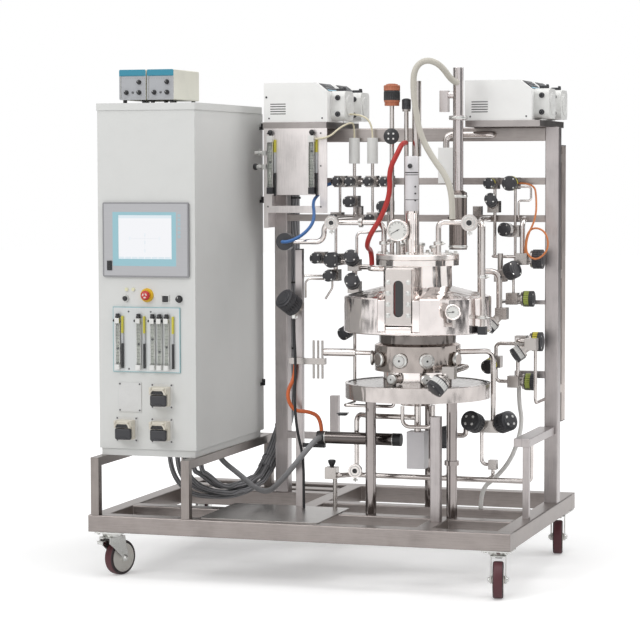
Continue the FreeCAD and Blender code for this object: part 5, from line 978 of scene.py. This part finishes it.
valves = [  # the block's centre and its aim, the drum's radius and length, and any label
    ((-60, -22, 1118), ahead, 20, 45), ((0, -22, 1112), ahead, 28, 45),
    ((67, -22, 1092), (0.05, -0.87, 0.48), 26, 42), ((-10, -22, 1055), ahead, 21, 45),
    ((67, -22, 1012), (0.1, -0.9, 0.42), 27, 42, label_green),
    ((570, 136, 1052), (0.8, -0.45, 0.35), 32, 42), ((605, 175, 968), (1, 0, 0), 29, 46, label_green),
    ((642, 168, 1112), (1, 0, 0), 35, 45), ((640, 168, 814), (1, 0, 0), 35, 45, label_yellow),
    ((697, 76, 811), (-0.75, -0.3, -0.55), 28, 42, label_white),
    ((612, 172, 667), (1, 0, 0), 31, 46, label_green),
    ((590, 70, 920), (-0.62, -0.35, -0.7), 26, 42, label_white),
    ((512, -372, 742), (-0.5, -0.55, -0.66), 33, 50, label_white),
    ((417, 0, 484), ahead, 39, 57),
    ((534, 0, 520), (-0.25, -0.9, 0.3), 36, 60), ((576, 0, 520), (0.75, -0.55, 0.3), 36, 60),
    ((-56, 209, 1392), ahead, 17, 45), ((-4, 209, 1392), ahead, 17, 45),
    ((66, 209, 1392), ahead, 17, 45), ((126, 209, 1392), ahead, 17, 45),
    ((-70, 209, 1257), ahead, 15, 45), ((70, 209, 1257), ahead, 15, 45),
    ((524, 209, 1385), ahead, 20, 45, label_yellow), ((600, 209, 1385), ahead, 27, 45, label_yellow),
    ((-4, 200, 1318), ahead, 20, 45), ((126, 200, 1300), ahead, 22, 45),
    ((530, 200, 1300), (0, -0.9, 0.42), 22, 42),
    ((606, 200, 1212), (-0.35, -0.9, 0.1), 25, 42, label_white),
    ((545, 168, 738), (-0.2, -0.95, -0.2), 26, 42, label_yellow),
    ((67, -22, 868), (-0.35, -0.9, -0.3), 24, 42),
]
dotted_valves = (15, 16)
drums = []
for number, (spot, aim, radius, length, *label) in enumerate(valves, 1):
    dotted = number in dotted_valves
    aim = Vector(aim).normalized()
    reach = max(33, 21 * sum(abs(part) for part in aim) + 1)
    foot = Vector(spot) + aim * reach
    piece = stamped(drum, f"actuator_{number}", foot, aim, spin=number * 11 % 15,
                    slot="charcoal_plastic", stretch=(radius / 30, radius / 30, length / 45))
    if label:
        piece.data.materials.append(label[0].material)
        for face in piece.data.polygons:
            from_foot = face.center * 1000 - foot
            up = from_foot.dot(aim) * 45 / length
            seen = face.normal.dot(Vector((0.25, -0.8, 0.5))) > 0.25
            if 12 < up < 29.8 and seen and abs(face.normal.dot(aim)) < 0.5:
                face.material_index = len(piece.data.materials) - 1
    drums.append(piece)
    if reach > 38 or radius > 30:
        stamped(bonnet, f"bonnet_{number}", foot - aim * 11, aim, slot="stainless_tube")
    tall = foot + aim * length
    side = aim.cross(Vector((0, 0, 1))).normalized()
    up = side.cross(aim)
    for turn in (45, 135, 225, 315):
        turn = math.radians(turn)
        out = (side * math.cos(turn) + up * math.sin(turn)) * (radius * (0.5 if dotted else 0.82))
        stamped(eye if dotted else cap_screw, f"actuator_screw_{number}_{turn:.0f}_{len(drums)}",
                tall + out + aim * (2.4 if dotted else -0.8), aim, slot="zinc")
for name, spot, aim, radius, length in (
        ("post_actuator", (-100.5, -180, 940), (-0.45, -0.7, 0.55), 38, 80),
        ("riser_actuator", (238, -130, 1660), (0, 0, 1), 29, 78),
        ("thin_riser_actuator", (286, -112, 1640), (0, 0, 1), 16, 46)):
    piece = stamped(drum, name, spot, aim, slot="charcoal_plastic",
                    stretch=(radius / 30, radius / 30, length / 48))
    if name == "riser_actuator":
        for face in piece.data.polygons:
            face.material_index = 2 if 1681 < face.center.z * 1000 < 1716 else 1
        piece.data.materials[1] = copper.material
        piece.data.materials.append(black_moulding.material)
    drums.append(piece)
neck = zinc.over(joined(block("post_actuator_neck", (-116, -190, 936), (-93, -149, 960), 3),
                        block("post_actuator_gland", (-112, -214, 905), (-96, -180, 932), 5, 3)))
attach(neck, "skid")
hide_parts("valve_actuators")
beacon = black_moulding.over(lathe("valve_face",
        [(0, 5), (26, 5), (29, 3.6), (30, 1), (30, -2), (0, -2)], 48))
stamped(beacon, "riser_face", (238, -138.4, 1553), ahead, slot="black_plastic", stretch=(0.94, 0.94, 1))
for across in (-9, 9):
    for up in (-9, 9):
        stamped(eye, f"riser_dot_{across}_{up}", (238 + across, -143.4, 1553 + up), ahead,
                slot="white_plastic", stretch=(0.7, 0.7, 0.8))
discard(drum, cap_screw, eye, bonnet, beacon, collar, wing, plug, bolt_washer, rim_bead, bead)

# ---------------------------------------------------------------- heater and hand valve
# The heater is a polished dark tube with black end caps on an arm from the light post. The
# hand valve under it has a black funnel-shaped knob with finger flutes.

heater_steel = bright_steel("heater_tube", (0.13, 0.115, 0.11), 0.12)
tinted(nodes["heater_cylinder"], heater_steel,
       (black_moulding, lambda spot, way: spot.x < -9 or spot.x > 245))
for x in (-8, 244):
    ring = lathe("heater_ring", [(22.2, 2), (23.6, 1.4), (23.6, -1.4), (22.2, -2)], 48)
    ring.data.transform(Matrix.Translation((x / 1000, -0.1365, 0.477))
                        @ Matrix.Rotation(math.pi / 2, 4, "Y"))
    zinc.onto(ring)
    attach(ring, "skid")
funnel = lathe("funnel_knob", [(0, 26), (9, 26), (12.6, 25), (14, 22.6), (14, 18), (12, 12), (8.6, 6),
        (7, 2), (7, 0), (0, 0)], 48)
sunk(funnel, lambda radius, height, angle: radius > 11 and 12 < height < 22.6
     and round(angle / 7.5 - 0.5) % 4 == 0, thickness=0.0002, depth=-0.001)
black_moulding.onto(funnel)
piece = stamped(funnel, "hand_knob", (13, -130, 370.3), body="hand_valve", slot="black_plastic")
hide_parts("hand_valve_knob")
discard(funnel)

# ---------------------------------------------------------------- cable loom
# About twenty grey PVC control cables leave the cabinet's floor in five groups, are tied
# together behind the left post with black straps and rise to the pump tray as one trunk.

loom_tie = Vector((-0.370, 0.245, 0.303))
loom_bend = Vector((-0.353, 0.323, 0.372))


def flexible(name, points, thickness, finish, **facts):
    """A cord as one smooth curve with those control points."""
    curve = bpy.data.curves.new(name, "CURVE")
    curve.dimensions = "3D"
    spline = curve.splines.new("NURBS")
    spline.points.add(len(points) - 1)
    for control, spot in zip(spline.points, points):
        control.co = (*spot, 1)
    spline.order_u = 3
    spline.use_endpoint_u = True
    curve.resolution_u = 8
    piece = bpy.data.objects.new(name, curve)
    bpy.context.scene.collection.objects.link(piece)
    line = bpy.data.meshes.new_from_object(piece)
    curve.bevel_depth = thickness / 2
    curve.bevel_resolution = 4
    curve.use_fill_caps = True
    finish.onto(piece)
    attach(piece, "skid")
    return piece


def sheath(name, color, gloss=0.5, cores=0):
    """Extruded PVC, faintly mottled; a bundle shows its cores side by side round the curve, with
    painted shade in the grooves between them.
    """
    finish = Finish(name, Specular_IOR_Level=0.4)
    mottle = finish.noise(240, 3)
    dust = finish.noise(14, 4, 0.7)
    tone = finish.blend([c * 0.8 for c in color], color, mottle * 0.6 + dust * 0.4)
    normal = finish.bump(mottle, 0.15, 0.0004)
    if cores:
        along = finish.axis("X", want="UV")
        wander = finish.noise(9, 1)
        turned = finish.axis("Y", want="UV") * cores + along * 3 + wander * 2
        lobe = turned.sum_of("PINGPONG", turned, 0.5) * 2
        # painted shade: the grooves between the cores are darkened to a quarter of the colour
        tone = finish.blend([c * 0.25 for c in color], tone, lobe.between(0.0, 0.42))
        normal = finish.bump(lobe ** 0.5, 0.9, 0.004, normal)
    finish.feed(Base_Color=tone, Roughness=gloss - 0.08 + dust * 0.2, Normal=normal)
    return finish


loom_grey = sheath("loom_sheath", (0.30, 0.30, 0.315), cores=5)
trunk_grey = sheath("trunk_sheath", (0.30, 0.30, 0.315), cores=16)
heading = (loom_bend - loom_tie).normalized()
across = heading.cross(Vector((0, 0, 1))).normalized()
upward = across.cross(heading)
for number, round_tie in enumerate((270, 198, 342, 126, 54)):
    start_x = -0.585 + 0.030 * number
    side = 0.020 * math.cos(math.radians(round_tie))
    lift = 0.020 * math.sin(math.radians(round_tie))
    end = loom_tie + across * side + upward * lift
    points = [(start_x, -0.200, 0.425), (start_x, -0.200, 0.345),
              (start_x + 0.4 * (side - 0.430 - start_x), -0.176, 0.298 + 2.2 * lift)]
    points += [(x + side, y, z + lift) for x, y, z in
               ((-0.424, -0.120, 0.262), (-0.402, -0.020, 0.254), (-0.390, 0.075, 0.256),
                (-0.380, 0.150, 0.266))]
    points += [tuple(end - heading * 0.055), tuple(end)]
    flexible(f"loom_strand_{number + 1}", points, 0.018, loom_grey,
                            far_end="object", stiffness="medium", lay="hanging")
trunk = flexible("loom_trunk", [loom_tie, loom_bend, (-0.304, 0.326, 0.520), (-0.288, 0.326, 0.815),
                                (-0.288, 0.322, 1.220), (-0.288, 0.322, 1.6067)], 0.062, trunk_grey,
                 far_end="object", stiffness="stiff", lay="taut")
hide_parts("cable_loom")
strap = lathe("strap", [(31.4, 3.4), (32.6, 3), (32.6, -3), (31.4, -3.4), (31.4, 3.4)], 48)
strap_lock = block("strap_lock", (30, -4, -4), (36, 4, 4), 1)
strap = black_moulding.over(joined(strap, strap_lock))
for spot, aim in (((-363, 278, 333), (17, 78, 69)), ((-326, 325, 456), (0.31, 0.02, 0.95)),
                  ((-290, 326, 760), (0, 0, 1)), ((-288, 324, 1010), (0, 0, 1)),
                  ((-288, 322, 1330), (0, 0, 1))):
    stamped(strap, f"loom_strap_{spot[2]}", spot, aim, slot="black_plastic")
discard(strap)

# ---------------------------------------------------------------- hoses and leads
# Single hoses and leads between the fittings: a braided hose, silicone tubes, a red and an
# orange air hose and two leads. Each is pushed or screwed home at both ends.

hose_runs = {
    "hose_braided": (0.020, "stiff", sheath("braided_sleeve", (0.30, 0.30, 0.31), 0.6), [
        (-24, -159.8, 477), (-24, -200, 477), (-55, -220, 436), (-110, -200, 375), (-180, -160, 305),
        (-240, -105, 264), (-305, -62, 272), (-368, -50, 318), (-432, -54, 364), (-446, -56, 390),
        (-446, -56, 424.7)]),
    "lead_motor": (0.010, "medium", sheath("black_lead", (0.02, 0.02, 0.022), 0.45), [
        (-104, -205, 904.7), (-104, -205, 850), (-95, -218, 784), (-92, -225, 710), (-96, -224, 640),
        (-95, -221, 570), (-91, -206, 495), (-83, -178, 425), (-80, -171, 355), (-81, -170, 288),
        (-80, -170, 223.3)]),
    "hose_red": (0.018, "medium", sheath("red_hose", (0.50, 0.035, 0.03), 0.35), [
        (286, -120.3, 1530), (286, -165, 1530), (280, -203, 1494), (249, -206, 1434), (254, -206, 1353),
        (222, -206, 1270), (178, -206, 1205), (152, -160, 1162), (150, -84, 1146), (150, -84, 1095.2)]),
    "hose_cream": (0.022, "stiff", sheath("cream_hose", (0.62, 0.59, 0.52), 0.5), [
        (470, -175, 1261.8), (470, -172, 1330), (450, -160, 1404), (387, -150, 1482), (346, -150, 1560),
        (331, -150, 1640), (321, -150, 1720), (325, -150, 1790), (362, -136, 1822), (412, -120, 1804),
        (442, -66, 1744), (442, -4.9, 1744)]),
    "silicone_long": (0.007, "limp", sheath("silicone_amber", (0.80, 0.74, 0.55), 0.3), [
        (-21.7, 202, 1640), (28, 202, 1640), (66, 209, 1603), (66, 209, 1553.3)]),
    "silicone_short": (0.007, "limp", sheath("silicone_amber_2", (0.80, 0.74, 0.55), 0.3), [
        (-118.7, 86, 1549), (-68, 86, 1549), (-36, 126, 1590), (-6, 182, 1612), (-4, 209, 1596),
        (-4, 209, 1553.3)]),
    "lead_white": (0.016, "medium", sheath("white_lead", (0.93, 0.92, 0.89), 0.45), [
        (630, 172, 645.7), (630, 172, 590), (652, 132, 530), (648, 84, 460), (625, 52, 390),
        (575, 50, 330), (525, 24, 290), (525, 24, 220.3)]),
    "lead_blue": (0.012, "medium", sheath("blue_lead", (0.05, 0.16, 0.42), 0.4), [
        (-77.3, 209, 1385), (-112, 209, 1385), (-125, 150, 1345), (-122, 70, 1320), (-76, -50, 1275),
        (-58, -130, 1240), (-70, -200, 1205), (-105, -240, 1182), (-144, -240, 1180),
        (-144, -192.3, 1180)]),
    "lead_coiled": (0.007, "medium", sheath("coiled_lead", (0.72, 0.24, 0.08), 0.4), [
        (655, 156, 1133.3), (655, 156, 1190), (688, 128, 1230), (740, 116, 1215), (752, 116, 1150),
        (708, 114, 1108), (668, 114, 1130), (668, 118, 1190), (700, 130, 1260), (692, 175, 1330),
        (676, 209, 1385), (621.3, 209, 1385)]),
    "hose_orange": (0.014, "medium", sheath("orange_hose", (0.72, 0.16, 0.05), 0.4), [
        (-115, -160, 740.7), (-115, -160, 694), (-140, -190, 636), (-114, -190, 574), (-62, -166, 572),
        (-26, -138, 548), (-24, -136.5, 500.3)]),
}
for name, (thickness, stiffness, finish, route) in hose_runs.items():
    points = [(x / 1000, y / 1000, z / 1000) for x, y, z in route]
    flexible(name, points, thickness, finish, far_end="object",
                                stiffness=stiffness, lay="hanging")
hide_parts("hoses")
discard(bolt, screw)

# ---------------------------------------------------------------- studio
# A white floor that keeps a soft shadow, its glow dimmed near the object as painted shade,
# broad lamps above and to the front left, and the camera in front of the right corner with a
# long lens.

bpy.ops.object.select_all(action="DESELECT")
bpy.ops.mesh.primitive_plane_add(size=60, location=(0, 0, 0))
floor = bpy.context.object
floor.name = "floor"
ground = Finish("floor_white", Base_Color=(0.86, 0.86, 0.86), Roughness=0.9, Specular_IOR_Level=0.1)
seen = ground.add("ShaderNodeLightPath", want="Is Camera Ray")
mirrored = ground.add("ShaderNodeLightPath", want="Is Glossy Ray")
passed = ground.add("ShaderNodeLightPath", want="Is Transmission Ray")
ground.surface.inputs["Emission Strength"].default_value = 1.0
x, y = ground.axis("X"), ground.axis("Y")
# painted shade: the floor glows less within about a metre of the middle, so the ground round the object
# is darker and its shadow deeper
away = ((x * x + y * y) ** 0.5).between(0.9, 3.2)
glow = ground.blend((0.29, 0.29, 0.29), (0.60, 0.60, 0.60), away)
ground.feed(Emission_Color=ground.blend((0, 0, 0), glow, seen + mirrored + passed))
ground.onto(floor)

world = bpy.data.worlds.new("studio")
bpy.context.scene.world = world
world.use_nodes = True
sky = world.node_tree.nodes["Background"]
path = world.node_tree.nodes.new("ShaderNodeLightPath")
either = world.node_tree.nodes.new("ShaderNodeMath")
either.operation = "ADD"
world.node_tree.links.new(path.outputs["Is Camera Ray"], either.inputs[0])
world.node_tree.links.new(path.outputs["Is Glossy Ray"], either.inputs[1])
level = world.node_tree.nodes.new("ShaderNodeMapRange")
level.inputs["To Min"].default_value = 0.55
level.inputs["To Max"].default_value = 1.0
world.node_tree.links.new(either.outputs[0], level.inputs["Value"])
world.node_tree.links.new(level.outputs["Result"], sky.inputs["Strength"])
sky.inputs["Color"].default_value = (1, 1, 1, 1)

for name, low, high in (("left", (-14100, -10000), (-14000, 1500)),
                        ("right", (14000, -7000), (14100, 3000)),
                        ("back_left", (-20000, 12000), (-8500, 12100)),
                        ("back_right", (900, 12000), (13000, 12100))):
    flag = black_moulding.over(block(f"dark_flag_{name}", (*low, -500), (*high, 7000), 1))
    flag.visible_camera = False
    flag.visible_diffuse = False
    flag.visible_shadow = False

for name, spot, size, power in (("key", (-3.5, -5.5, 5.0), 3.0, 150),
                                ("top", (0.6, -1.0, 5.5), 4.0, 90),
                                ("rim", (4.5, 2.0, 3.5), 2.0, 60)):
    lamp = bpy.data.lights.new(name, "AREA")
    lamp.energy = power
    lamp.size = size
    holder = bpy.data.objects.new(name, lamp)
    holder.location = spot
    holder.rotation_euler = (Vector((0, 0, 0.9)) - Vector(spot)).to_track_quat("-Z", "Y").to_euler()
    bpy.context.scene.collection.objects.link(holder)

lens = bpy.data.cameras.new("camera")
lens.lens = 131.02
lens.sensor_width = 36
lens.clip_end = 100
camera = bpy.data.objects.new("camera", lens)
camera.location = (2.520, -8.063, 1.4348)
camera.rotation_euler = (math.radians(90 - 3.685), math.radians(0.144), math.radians(17.814))
bpy.context.scene.collection.objects.link(camera)
bpy.context.scene.camera = camera
bpy.context.scene.view_settings.view_transform = "Standard"
